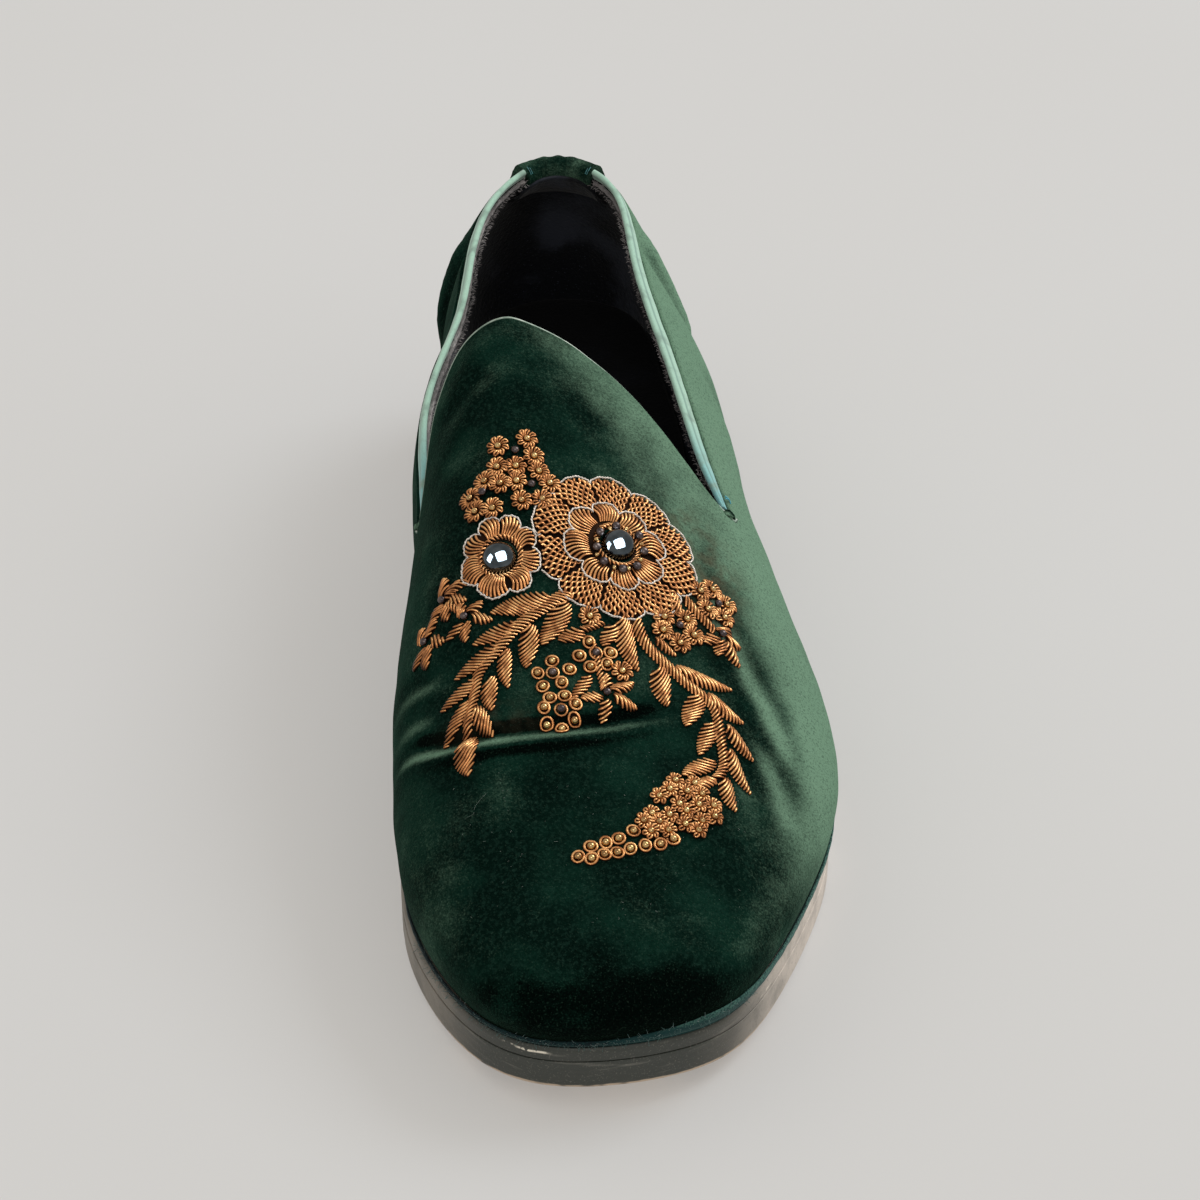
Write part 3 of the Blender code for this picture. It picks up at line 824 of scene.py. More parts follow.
@dataclass(frozen=True)
class SoleEdge:
    """Lacquered edge of the sole: satin and grained, greyer at the toe, and paler along the sides as
    painted light and reflection, palest at the outside.
    """

    name: str = "sole_edge_lacquer"
    front: Color = (0.036, 0.040, 0.033)
    # The side colours are painted light and reflection, the outer one where the key light falls.
    inner: Color = (0.205, 0.180, 0.147)
    outer: Color = (0.66, 0.58, 0.51)
    scuff: Color = (0.55, 0.51, 0.44)
    low_line: Color = (0.52, 0.40, 0.29)
    rubs: tuple = (((-0.0265, -0.0195), 10.6, 0.45), ((-0.029, -0.0275), 10.9, 0.30),
                   ((0.031, 0.033), 9.4, 0.40))

    def material(self) -> Material:
        """The edge as a material, in the shoe's own measures."""
        g = Graph(self.name)
        x, y, low = g.axis(0), g.axis(1), g.painted("low")
        # Painted light and reflection pale the edge from the inner to the outer side; it stays darker at
        # the toe.
        color = g.over(self.inner, self.outer, x, 0.010, 0.050)
        toe = g.math("MULTIPLY", g.rise(y, -0.108, -0.141), g.rise(x, 0.046, 0.010))
        left = g.math("MULTIPLY", g.rise(x, -0.012, -0.040), g.rise(y, -0.139, -0.112))
        toe = g.math("MULTIPLY", toe, g.math("SUBTRACT", 1.0, g.math("MULTIPLY", left, 0.75)))
        color = g.mix(toe, color, self.front)
        color = g.over(color, g.mix(0.40, color, self.front), g.noise(9, 4), 0.42, 0.72)
        grain, streak = g.noise(0.45, 3), g.noise(1.6, 3, (0.10, 0.10, 1.0))
        color = g.over(color, self.scuff, grain, 0.56, 0.74, 0.16)
        color = g.over(color, g.mix(0.6, color, self.front), g.noise(0.8, 3), 0.42, 0.28, 0.55)
        color = g.over(color, self.scuff, streak, 0.58, 0.76, 0.14)
        wander = g.math("MULTIPLY", g.math("SUBTRACT", g.noise(5, 2), 0.5), 0.8)
        height = g.math("ADD", low, wander)
        edge = g.math("MULTIPLY", g.rise(height, 1.15, 0.75), g.rise(g.noise(7, 2), 0.34, 0.50))
        color = g.mix(g.math("MULTIPLY", edge, g.rise(y, -0.10, -0.135)), color, self.low_line)
        for along, level, thick in self.rubs:
            rub = g.math("MULTIPLY", g.within(x, *along, 0.0012), g.line(height, level, thick))
            rub = g.math("MULTIPLY", rub, g.rise(y, -0.10, -0.11))
            rub = g.math("MULTIPLY", rub, g.rise(g.noise(1.3, 3), 0.40, 0.52))
            color = g.mix(rub, color, (0.80, 0.74, 0.62))
        return g.dress(base_color=color, roughness=g.blend(grain, 0.36, 0.58),
                       specular_ior_level=0.45,
                       normal=g.bump((grain, 0.05), (streak, 0.12), (g.noise(6, 2), 0.15)))


@dataclass(frozen=True)
class SoleLeather:
    """Worn underside of the sole and stack of the heel."""

    name: str = "sole_leather_worn"
    tan: Color = (0.20, 0.155, 0.115)
    dark: Color = (0.075, 0.060, 0.048)
    layered: bool = False

    def material(self) -> Material:
        """The leather as a material, with stacked lines where it is layered."""
        g = Graph(self.name)
        color = g.over(self.tan, self.dark, g.noise(16, 4), 0.35, 0.70)
        scratch = g.noise(1.3, 3, (1.0, 0.12, 1.0))
        color = g.over(color, (0.36, 0.31, 0.26), scratch, 0.62, 0.74)
        grain = g.noise(0.6, 3)
        if self.layered:
            lift = g.math("ADD", g.axis(2), g.math("MULTIPLY", g.noise(8, 2), 0.0006))
            wave = g.math("SINE", g.math("MULTIPLY", lift, 2 * math.pi / 0.0042))
            color = g.over(color, self.dark, wave, 0.86, 0.98)
        return g.dress(base_color=color, roughness=g.blend(grain, 0.5, 0.8),
                       specular_ior_level=0.35, normal=g.bump((grain, 0.08), (scratch, 0.12)))


@dataclass(frozen=True)
class Rubber:
    """Black rubber top lift of the heel, greyed by walking."""

    name: str = "rubber_black"

    def material(self) -> Material:
        """The rubber as a material."""
        g = Graph(self.name)
        dust = g.rise(g.noise(7, 4), 0.45, 0.75)
        color = g.mix(dust, (0.016, 0.016, 0.015), (0.075, 0.068, 0.060))
        return g.dress(base_color=color, roughness=g.blend(dust, 0.55, 0.85),
                       specular_ior_level=0.3, normal=g.bump((g.noise(0.9, 3), 0.10)))


@dataclass(frozen=True)
class Bullion:
    """Wire coil of the embroidery, or the thin twisted cord beside it."""

    name: str
    # dark is the coil's darker tone and also painted shade down its sides; glint is a painted highlight
    # along its top.
    dark: Color
    wire: Color
    glint: Color
    roughness: float = 0.30
    metallic: float = 0.8
    turn: float = 0.30

    def material(self) -> Material:
        """The coil as a material: a painted highlight along its top and painted shade down its sides."""
        g = Graph(self.name)
        normal = self.height_of(g)
        tone, coils = g.noise(2.6, 3), g.noise(self.turn, 1)
        # Painted shade down the sides, by how far the surface looks up.
        color = g.over(self.dark, self.wire, normal, 0.20, 0.72)
        color = g.over(color, self.dark, tone, 0.42, 0.70, 0.50)
        # Painted highlight along the top.
        top = g.math("MULTIPLY", g.rise(normal, 0.70, 0.96), g.rise(tone, 0.62, 0.40))
        color = g.mix(g.math("MULTIPLY", top, 0.75), color, self.glint)
        color = g.over(color, self.dark, coils, 0.54, 0.68, 0.30)
        return g.dress(base_color=color, metallic=self.metallic, roughness=self.roughness,
                       normal=g.bump((coils, 0.035)))

    @staticmethod
    def height_of(g: Graph) -> NodeSocket:
        """How far the surface looks up, which places the painted highlight and the painted shade."""
        normal = g.node("ShaderNodeNewGeometry").outputs["Normal"]
        return g.node("ShaderNodeSeparateXYZ", {0: normal}).outputs[2]


@dataclass(frozen=True)
class BeadMetal:
    """A small metal bead, bright gold or blackened."""

    name: str
    metal: Color
    tarnish: Color
    roughness: float = 0.22

    def material(self) -> Material:
        """The bead as a material."""
        g = Graph(self.name)
        color = g.over(self.metal, self.tarnish, g.noise(1.4, 2), 0.42, 0.66)
        return g.dress(base_color=color, metallic=1.0, roughness=self.roughness,
                       normal=g.bump((g.noise(0.7, 1), 0.08)))


@dataclass(frozen=True)
class Gunmetal:
    """Polished dark dome with faint clouding and a few hairline rubs."""

    name: str = "gunmetal_polished"

    def material(self) -> Material:
        """The dome as a material."""
        g = Graph(self.name)
        color = g.over((0.060, 0.074, 0.084), (0.110, 0.128, 0.140), g.noise(2.4, 3), 0.4, 0.7)
        rub = g.noise(0.5, 2, (1.0, 0.2, 1.0))
        return g.dress(base_color=color, metallic=1.0, roughness=g.blend(rub, 0.02, 0.06),
                       normal=g.bump((g.noise(1.8, 2), 0.02)))


@dataclass(frozen=True)
class Thread:
    """Sewing thread or a loose fibre."""

    name: str
    color: Color
    shadow: Color

    def material(self) -> Material:
        """The thread as a material."""
        g = Graph(self.name)
        color = g.over(self.shadow, self.color, g.noise(0.5, 2), 0.35, 0.65)
        return g.dress(base_color=color, roughness=0.6, sheen_weight=0.3,
                       normal=g.bump((g.noise(0.3, 1), 0.04)))


@dataclass(frozen=True)
class StudioPaper:
    """The plain pale floor."""

    name: str = "studio_paper"
    pale: Color = (0.62, 0.62, 0.62)
    warm: Color = (0.613, 0.611, 0.608)

    def material(self) -> Material:
        """The paper as a material."""
        g = Graph(self.name)
        color = g.over(self.pale, self.warm, g.noise(320, 2), 0.35, 0.65)
        return g.dress(base_color=color, roughness=0.9, specular_ior_level=0.15,
                       normal=g.bump((g.noise(0.8, 2), 0.01)))


# ---------------------------------------------------------------- trees for what repeats


class NodeMaker(Nodes):
    """A Geometry Nodes tree being written: named inputs, nodes and links."""

    def __init__(self, name: str, inputs: dict[str, str]) -> None:
        """Starts a tree whose first input and only output are geometry.

        Args:
            name: The tree's name.
            inputs: Socket type by input name, in order.
        """
        self.tree = bpy.data.node_groups.new(name, "GeometryNodeTree")
        for label, kind in {"Paths": "Geometry", **inputs}.items():
            self.tree.interface.new_socket(label, in_out="INPUT", socket_type=f"NodeSocket{kind}")
        self.tree.interface.new_socket("Made", in_out="OUTPUT", socket_type="NodeSocketGeometry")
        self.given = self.tree.nodes.new("NodeGroupInput").outputs

    def attribute(self, name: str, kind: str = "FLOAT") -> NodeSocket:
        """A named attribute of the incoming points."""
        return self.node("GeometryNodeInputNamedAttribute", {0: name}, data_type=kind).outputs[0]

    def finish(self, geometry: NodeSocket) -> NodeTree:
        """Shades, realizes and dresses the geometry, and closes the tree."""
        smooth = self.node("GeometryNodeSetShadeSmooth", {0: geometry}).outputs[0]
        real = self.node("GeometryNodeRealizeInstances", {0: smooth}).outputs[0]
        dressed = self.node("GeometryNodeSetMaterial",
                            {"Geometry": real, "Material": self.given["Finish"]}).outputs[0]
        self.node("NodeGroupOutput", {"Made": dressed})
        return self.tree


def cord_tree() -> NodeTree:
    """A tree that turns edge paths into round cords, thick as their `thick` attribute says."""
    made = NodeMaker("cord_along_path", {"Radius": "Float", "Sides": "Int", "Finish": "Material"})
    curve = made.node("GeometryNodeMeshToCurve", {"Mesh": made.given["Paths"]}).outputs[0]
    ring = made.node("GeometryNodeCurvePrimitiveCircle",
                     {"Resolution": made.given["Sides"], "Radius": made.given["Radius"]})
    skin = made.node("GeometryNodeCurveToMesh",
                     {"Curve": curve, "Profile Curve": ring.outputs[0],
                      "Scale": made.attribute("thick"), "Fill Caps": True})
    return made.finish(skin.outputs[0])


def bead_tree() -> NodeTree:
    """A tree that sets a round bead on each point, turned by `lean` and sized by `size`."""
    made = NodeMaker("beads_on_points", {"Facets": "Int", "Finish": "Material"})
    ball = made.node("GeometryNodeMeshIcoSphere",
                     {"Radius": 1.0, "Subdivisions": made.given["Facets"]}).outputs[0]
    turn = made.node("FunctionNodeAlignRotationToVector",
                     {"Vector": made.attribute("lean", "FLOAT_VECTOR")}, axis="Z").outputs[0]
    beads = made.node("GeometryNodeInstanceOnPoints",
                      {"Points": made.given["Paths"], "Instance": ball, "Rotation": turn,
                       "Scale": made.attribute("size", "FLOAT_VECTOR")})
    return made.finish(beads.outputs[0])


def fray_tree() -> NodeTree:
    """A tree that stands loose fibres along edge paths, leaning by `lean` with a seeded scatter."""
    made = NodeMaker("frayed_fibres", {"Spacing": "Float", "Length": "Float", "Radius": "Float",
                                       "Seed": "Int", "Finish": "Material"})
    curve = made.node("GeometryNodeMeshToCurve", {"Mesh": made.given["Paths"]}).outputs[0]
    points = made.node("GeometryNodeCurveToPoints",
                       {"Curve": curve, "Length": made.given["Spacing"]}, mode="LENGTH").outputs[0]
    fibre = made.node("GeometryNodeMeshCone",
                      {"Vertices": 4, "Radius Top": made.given["Radius"],
                       "Radius Bottom": made.given["Radius"], "Depth": made.given["Length"]})
    half = made.node("ShaderNodeMath", {0: made.given["Length"], 1: 0.5}, operation="MULTIPLY")
    up = made.node("ShaderNodeCombineXYZ", {"Z": half.outputs[0]}).outputs[0]
    seated = made.node("GeometryNodeTransform",
                       {"Geometry": fibre.outputs[0], "Translation": up})
    scatter = made.node("FunctionNodeRandomValue",
                        {0: (-0.9, -0.9, -0.9), 1: (0.9, 0.9, 0.9), "Seed": made.given["Seed"]},
                        data_type="FLOAT_VECTOR")
    lean = made.node("ShaderNodeVectorMath",
                     {0: made.attribute("lean", "FLOAT_VECTOR"), 1: scatter.outputs[0]},
                     operation="ADD").outputs[0]
    turn = made.node("FunctionNodeAlignRotationToVector", {"Vector": lean}, axis="Z").outputs[0]
    sizes = made.node("FunctionNodeRandomValue",
                      {2: 0.45, 3: 1.2, "Seed": made.given["Seed"]}, data_type="FLOAT")
    fibres = made.node("GeometryNodeInstanceOnPoints",
                       {"Points": points, "Instance": seated.outputs[0], "Rotation": turn,
                        "Scale": sizes.outputs[1]})
    return made.finish(fibres.outputs[0])


class Paths:
    """Points, and the edges between them, on which a tree makes cords, beads or fibres."""

    def __init__(self) -> None:
        """Starts with no paths."""
        self.points: list[np.ndarray] = []
        self.thick: list[np.ndarray] = []
        self.leans: list[np.ndarray] = []
        self.sizes: list[np.ndarray] = []
        self.edges: list[np.ndarray] = []
        self.count = 0

    def add(self, points: np.ndarray, thick: Any = 1.0, closed: bool = False,
            lean: Any = (0, 0, 1), size: Any = (1, 1, 1), joined: bool = True) -> None:
        """Adds one path.

        Args:
            points: Its points in the row frame, in metres.
            thick: Share of the cord's radius at each point, or at all of them.
            closed: Whether the path runs back to its first point.
            lean: Direction of what stands on each point, or on all of them.
            size: Size of what stands on each point, in metres.
            joined: Whether edges join the points; beads stand on loose ones.
        """
        points = np.asarray(points, float).reshape(-1, 3)
        n = len(points)
        self.points.append(points)
        self.thick.append(np.broadcast_to(np.asarray(thick, float), (n,)))
        self.leans.append(np.broadcast_to(np.asarray(lean, float), (n, 3)))
        self.sizes.append(np.broadcast_to(np.asarray(size, float), (n, 3)))
        if joined:
            first = np.arange(n - 1)
            pairs = np.column_stack([first, first + 1])
            if closed:
                pairs = np.vstack([pairs, [[n - 1, 0]]])
            self.edges.append(pairs + self.count)
        self.count += n

    def mesh(self, name: str) -> Mesh:
        """The paths as a mesh of points and edges, with its attributes."""
        mesh = bpy.data.meshes.new(name)
        edges = np.vstack(self.edges).tolist() if self.edges else []
        mesh.from_pydata(np.vstack(self.points).tolist(), edges, [])
        paint(mesh, "thick", np.concatenate(self.thick))
        for label, values in (("lean", self.leans), ("size", self.sizes)):
            layer = mesh.attributes.new(label, "FLOAT_VECTOR", "POINT")
            layer.data.foreach_set("vector", np.vstack(values).astype(np.float32).ravel())
        return mesh

    def grown(self, name: str, tree: NodeTree, finish: Material, slot: str,
              **inputs: Any) -> Object:
        """The plain piece that a tree makes on these paths.

        Args:
            name: The piece's name.
            tree: The tree.
            finish: The material it sets.
            slot: The record's material slot; not used.
            inputs: The tree's other inputs by name.

        Returns:
            The piece, its modifier removed.
        """
        carrier = link(name + "_paths", self.mesh(name), None)
        grown = carrier.modifiers.new("grown", "NODES")
        grown.node_group = tree
        values = {"Finish": finish, **inputs}
        for item in tree.interface.items_tree:
            if item.in_out == "INPUT" and item.name in values:
                grown[item.identifier] = values[item.name]
        made = frozen(carrier, name)
        if not made.data.materials:
            made.data.materials.append(finish)
        return finish_piece(made)


# ---------------------------------------------------------------- folds of the upper


@dataclass(frozen=True)
class Crease:
    """A soft trough with a ridge beside it, charted.

    The path is (x, back) seen from the top, or (back, height) seen from a side; depths and
    widths are in mm. The ridge stands on the side that is to the left of the path's direction
    when its sign is 1.
    """

    seen: Seen
    path: tuple[Place, ...]
    depth: float
    width: float
    ridge: float
    offset: float
    side: int = 1
    fade: float = 0.25

    def plane(self, points: np.ndarray) -> np.ndarray:
        """Last measures of points as this crease's two coordinates."""
        keep = (0, 1) if self.seen is Seen.TOP else (1, 2)
        return points[:, keep]

    def facing(self, normals: np.ndarray) -> np.ndarray:
        """How far the surface looks the way that the crease is seen from."""
        toward = {Seen.TOP: normals[:, 2], Seen.INNER: -normals[:, 0], Seen.OUTER: normals[:, 0]}
        return ease(toward[self.seen], 0.05, 0.40)

    def depth_at(self, points: np.ndarray, normals: np.ndarray) -> np.ndarray:
        """How far, in mm, the crease moves each point along its normal.

        Args:
            points: Points in the last's measures.
            normals: Their normals in the row frame.

        Returns:
            One distance a point, outwards positive.
        """
        flat = self.plane(points)
        line = Spline(self.path).at(np.linspace(0, len(self.path) - 1, 12 * len(self.path)))
        away = flat[:, None] - line[None]
        near = np.argmin((away**2).sum(-1), axis=1)
        share = near / (len(line) - 1)
        ahead = unit(line[np.minimum(near + 1, len(line) - 1)] - line[np.maximum(near - 1, 0)])
        off = flat - line[near]
        across = self.side * (ahead[:, 0] * off[:, 1] - ahead[:, 1] * off[:, 0])
        beyond = np.abs(ahead[:, 0] * off[:, 0] + ahead[:, 1] * off[:, 1])
        ends = smooth_step(share / self.fade) * smooth_step((1 - share) / self.fade)
        ends = np.maximum(ends, 0) * hump(beyond, 3 * self.width)
        trough = -self.depth * hump(across, self.width)
        ridge = self.ridge * hump(across - self.offset, self.width)
        return (trough + ridge) * ends * self.facing(normals)


CREASES = (
    # The main crease behind the toe: a trough towards the heel, a soft bright lip before it.
    Crease(Seen.TOP, ((-49, 214), (-45, 219), (-40, 223), (-34, 225.5), (-24, 226.5), (-10, 226),
                      (2, 224), (11, 221), (19, 218)), 1.6, 2.1, 0.95, 3.3, 1, 0.2),
    # Short folds fanning from the inner ball into the vamp.
    Crease(Seen.TOP, ((-49, 198), (-45, 202), (-41, 205), (-36, 207)), 0.7, 2.2, 0.45, 3.2, 1, 0.35),
    Crease(Seen.TOP, ((-49, 207), (-45, 211), (-41, 214), (-37, 216)), 0.6, 2.4, 0.3, 3.4, 1, 0.35),
    # Slack of the inner side of the tongue.
    Crease(Seen.TOP, ((-37, 140), (-30, 137), (-22, 131), (-16, 124)), 0.9, 4.0, 0.5, 6.0, -1, 0.35),
    Crease(Seen.TOP, ((-37, 156), (-31, 150), (-25, 143), (-20, 138)), 0.6, 3.5, 0.4, 5.0, -1, 0.35),
    # Soft drags of the outer side of the vamp and ball.
    Crease(Seen.TOP, ((22, 168), (30, 182), (36, 196), (42, 206)), 0.5, 3.4, 0.35, 5.2, 1, 0.35),
    Crease(Seen.TOP, ((34, 196), (40, 206), (45, 218), (47, 230)), 0.45, 3.4, 0.35, 5.2, 1, 0.35),
    Crease(Seen.TOP, ((36, 216), (41, 226), (44, 238), (43, 250)), 0.35, 3.4, 0.3, 5.0, 1, 0.35),
    # Bulges of the inner quarter and its pulled waist.
    Crease(Seen.INNER, ((40, 84), (47, 68), (53, 52), (54, 38)), 2.3, 4.0, 1.8, 8.0, -1, 0.2),
    Crease(Seen.INNER, ((84, 74), (90, 60), (98, 48), (108, 38)), 0.9, 4.5, 0.6, 7.0, 1, 0.3),
    Crease(Seen.INNER, ((22, 70), (32, 60), (44, 50), (58, 44)), 0.8, 4.0, 0.5, 6.5, 1, 0.3),
    # Bulges of the outer quarter.
    Crease(Seen.OUTER, ((40, 84), (48, 68), (54, 52), (56, 38)), 2.2, 4.0, 1.5, 8.0, -1, 0.2),
    Crease(Seen.OUTER, ((24, 62), (36, 52), (50, 44), (64, 40)), 0.7, 4.0, 0.5, 6.0, 1, 0.3),
    Crease(Seen.OUTER, ((78, 70), (88, 56), (100, 46), (114, 38)), 0.8, 4.5, 0.5, 7.0, 1, 0.3),
)


@dataclass(frozen=True)
class Relief:
    """All folds of the velvet together, with the slow waves of worn cloth."""

    creases: tuple[Crease, ...] = CREASES
    slack: float = 0.42
    slack_size: float = 26.0
    ripple: float = 0.20
    ripple_size: float = 9.0
    clear_of_sole: float = 4.0
    fade_up: float = 9.0

    def of(self, points: np.ndarray, normals: np.ndarray) -> np.ndarray:
        """How far, in metres, the folds move each point along its normal.

        Args:
            points: Points in the row frame.
            normals: Their normals.

        Returns:
            One distance a point.
        """
        measured = LAST.from_row(points)
        moved = self.slack * roughly(points, self.slack_size, 3.1)
        moved += self.ripple * roughly(points, self.ripple_size, 8.7)
        for crease in self.creases:
            moved += crease.depth_at(measured, normals)
        foot = LAST.underside(measured[:, 1]) + LAST.outsole + LAST.midsole
        near_sole = (measured[:, 2] - foot - self.clear_of_sole) / self.fade_up
        return moved * smooth_step(near_sole) * MM


# ---------------------------------------------------------------- the upper


# Direction to the key light; folds turned towards it get painted light on the velvet, folds turned away get
# painted shade.
TO_LIGHT = (0.62, 0.70, 0.36)


@dataclass(frozen=True)
class UpperGrid:
    """How finely the upper's surface is laid out; the stations are denser across the vamp."""

    toe: int
    vamp: int
    throat: int
    quarter: int
    low_rows: int
    high_rows: int
    tongue: int
    vamp_start: float = 2.8
    vamp_end: float = 5.2
    foot_rounding: float = 0.008
    blend_steps: int = 60

    def stations(self) -> np.ndarray:
        """Rings from the toe to the back of the heel, one side."""
        bounds = (0, self.vamp_start, self.vamp_end, NOTCH_RING, HEEL_RING)
        counts = (self.toe, self.vamp, self.throat, self.quarter)
        spans = [np.linspace(start, end, count + 1)[:-1]
                 for start, end, count in zip(bounds, bounds[1:], counts)]
        return np.append(np.concatenate(spans), HEEL_RING)

    def side(self, side: Side) -> list[np.ndarray]:
        """One side's grids: the wall up to collar and notch, the vamp's top, and the tongue."""
        rings = self.stations()
        place = side.ring(rings)
        notch = LAST.collar_rise(side.ring(NOTCH_RING))
        split = LAST.meeting_rise + (notch - LAST.meeting_rise) * smooth_step(rings / NOTCH_RING)
        behind = rings > NOTCH_RING
        split[behind] = [LAST.collar_rise(ring) for ring in place[behind]]

        inset = [LAST.foot_edge(place, -d) for d in (LAST.lasting_margin, 5.0, 2.4, 1.0)]
        seat = LAST.outsole + LAST.midsole + LAST.gap
        floor = [np.column_stack([p, LAST.underside(p[:, 1]) + seat]) for p in inset]
        share = np.linspace(0, 1, self.low_rows) ** 1.1
        share[0] = self.foot_rounding
        lower = LAST.wall(place[:, None], split[:, None] * share)
        quarter = np.concatenate([np.stack(floor, 1), lower], 1)

        share = np.linspace(0, 1, self.high_rows)
        front = split[rings <= NOTCH_RING, None]
        top = LAST.wall(place[rings <= NOTCH_RING, None], front + (1 - front) * share)

        steps, rises = LAST.tongue_edge(side, self.high_rows)
        back = NOTCH_RING + steps * np.linspace(0, 1, self.tongue)[:, None]
        tongue = LAST.wall(side.ring(back), rises)
        return [quarter, top, tongue]

    def skin(self, name: str, relief: Relief) -> Mesh:
        """The upper's outer skin as one open mesh, folded by the relief.

        Its `turned` attribute says how far the folds turn it to the light.
        """
        sheet = Sheet()
        for side in Side:
            for grid in self.side(side):
                sheet.grid(grid)
        sheet.weld()
        sheet.soften_toe(self.blend_steps)
        mesh = sheet.done(name, open_sheet=True)
        points, normals = coordinates(mesh), normals_of(mesh)
        move_to(mesh, points + normals * relief.of(points, normals)[:, None])
        paint(mesh, "turned", (normals_of(mesh) - normals) @ np.array(TO_LIGHT))
        return mesh


def thicken(mesh: Mesh, name: str, thickness: float, finish: Material) -> Object:
    """A closed piece from an open skin, its wall inside the skin.

    Args:
        mesh: The open skin.
        name: The piece's name.
        thickness: Thickness of the wall in mm.
        finish: The material.

    Returns:
        The piece with its wall applied.
    """
    made = link(name + "_skin", mesh, finish)
    wall = made.modifiers.new("wall", "SOLIDIFY")
    wall.thickness = thickness * MM
    wall.offset = -1
    return frozen(made, name)


@dataclass
class VelvetUpper:
    """The velvet upper, its lining and what is sewn to its edges."""

    velvet: float = 1.25
    lining: float = 0.75
    lining_in: float = 1.55
    lit: float = 1.15
    relief: Relief = field(default_factory=Relief)

    def build(self) -> Mesh:
        """Builds velvet and lining, and gives the velvet's skin for the embroidery to lie on."""
        grid = UpperGrid(toe=40, vamp=78, throat=14, quarter=72, low_rows=44, high_rows=40,
                         tongue=36)
        skin = grid.skin("upper_velvet", self.relief)
        turned = painted(skin, "turned")
        # Painted light and shade by how far the folds turn the velvet to the key light, added to the
        # painted light of its facing.
        paint(skin, "nap_and_light", self.nap_and_light(coordinates(skin), normals_of(skin)) + self.lit * turned)
        paint(skin, "worn", self.worn(coordinates(skin)))
        made = thicken(skin.copy(), "upper_velvet", self.velvet, Velvet().material())
        finish_piece(made, ["upper"])
        self.build_lining()
        return skin

    @staticmethod
    def nap_and_light(points: np.ndarray, normals: np.ndarray) -> np.ndarray:
        """How pale the velvet is painted: painted light most where it faces the outer side on the quarter
        and ball, painted shade where it faces the toe, and patches of brushing.

        Args:
            points: Points in the row frame.
            normals: Their normals.

        Returns:
            One value a point: 0 for dark pile, 1 for painted light at its palest, below 0 for painted
                shade.
        """
        back = LAST.from_row(points)[:, 1]
        outwards, backwards, upwards = normals.T
        # Painted light on faces turned to the outer side, where the key light falls; `front` is painted
        # shade on faces turned to the toe.
        outer = ease(outwards, 0.26, 0.82)
        along = 0.92 - 0.62 * ease(back, 218, 258) + 0.16 * roughly(points, 34, 8.8)
        inner = 0.20 * ease(outwards, -0.25, -0.70) * ease(back, 238, 262)
        front = -0.55 * ease(backwards, -0.36, -0.71)
        tongue = 0.04 * ease(back, 150, 128) * ease(upwards, 0.4, 0.7)
        patch = 0.14 * roughly(points, 18, 5.5) + 0.10 * roughly(points, 7, 1.5)
        vamp = 0.08 * ease(back, 150, 170) * ease(back, 236, 222)
        high = 0.35 * outer * ease(back, 90, 40)
        return outer * along + inner + front + tongue + vamp + high + patch

    @staticmethod
    def worn(points: np.ndarray) -> np.ndarray:
        """Where the pile is rubbed brown: beside the large flower and behind the toe's fold."""
        x, back, height = LAST.from_row(points).T
        spots = ((30, 178, 7, 13, 0.75), (23, 164, 7, 6, 0.45), (-24, 222, 10, 4, 0.25))
        found = [depth * hump(x - across, wide) * hump(back - along, far)
                 for across, along, wide, far, depth in spots]
        return np.sum(found, axis=0) * (height > 30)

    def build_lining(self) -> None:
        """Builds the felt lining inside the velvet."""
        grid = UpperGrid(toe=18, vamp=26, throat=5, quarter=40, low_rows=22, high_rows=18,
                         tongue=14, blend_steps=14)
        skin = grid.skin("upper_lining", self.relief)
        points, normals = coordinates(skin), normals_of(skin)
        move_to(skin, points - normals * self.lining_in * MM)
        navy = Felt("lining_navy", (0.0022, 0.0026, 0.0042), (0.0330, 0.0370, 0.0510), 0.30, 0.14)
        finish = navy.material()
        finish_piece(thicken(skin, "upper_lining", self.lining, finish))
        LiningBand().build(finish)


@dataclass
class CollarBinding:
    """Mint binding that stands on the velvet's edge, from the heel tab to each notch."""

    half_width: float = 2.3
    half_thickness: float = 0.95
    tip_share: float = 0.25
    taper: float = 16.0
    tab_ring: float = HEEL_RING - 0.91
    tip_ring: float = NOTCH_RING + 0.10
    stations: int = 190
    around: int = 20
    groove: float = 0.22

    def section(self, ring: float) -> np.ndarray:
        """Points round the binding at a ring, flat-sided, with its sewn groove outside."""
        line = LAST.line(ring)
        ahead = (COLLAR[-1][0] - line.at(0, 0)[0, 1]) / self.taper
        share = min(1.0, self.tip_share + (1 - self.tip_share) * ahead)
        width = self.half_width * share
        thickness = self.half_thickness * (0.5 + 0.5 * share)
        angle = turns(self.around)
        flat = np.sign(np.cos(angle)) * np.abs(np.cos(angle)) ** 0.55
        up = LAST.gap + width + width * np.sin(angle)
        out = thickness * flat - LAST.wall_thickness / 2
        sewn = hump(up - width * 1.35, 0.35)
        return line.at(up, out - np.sign(flat) * self.groove * share * sewn)

    def build(self) -> None:
        """Builds both sides."""
        finish = Binding().material()
        for side in Side:
            rings = side.ring(np.linspace(self.tab_ring, self.tip_ring, self.stations))
            name = f"collar_binding_{side.label}"
            mesh = skinned(name, [self.section(ring) for ring in rings])
            back = LAST.from_row(roughen(mesh, (0.10, 5.0, 1.7)))[:, 1]
            paint(mesh, "notch", ease(back, 112, 147))
            turn = np.tile(turns(self.around), self.stations)
            paint(mesh, "groove", hump(np.sin(turn) - 0.35, 0.16))
            finish_piece(link(name, mesh, finish), [f"collar_piping_{side.label}"])


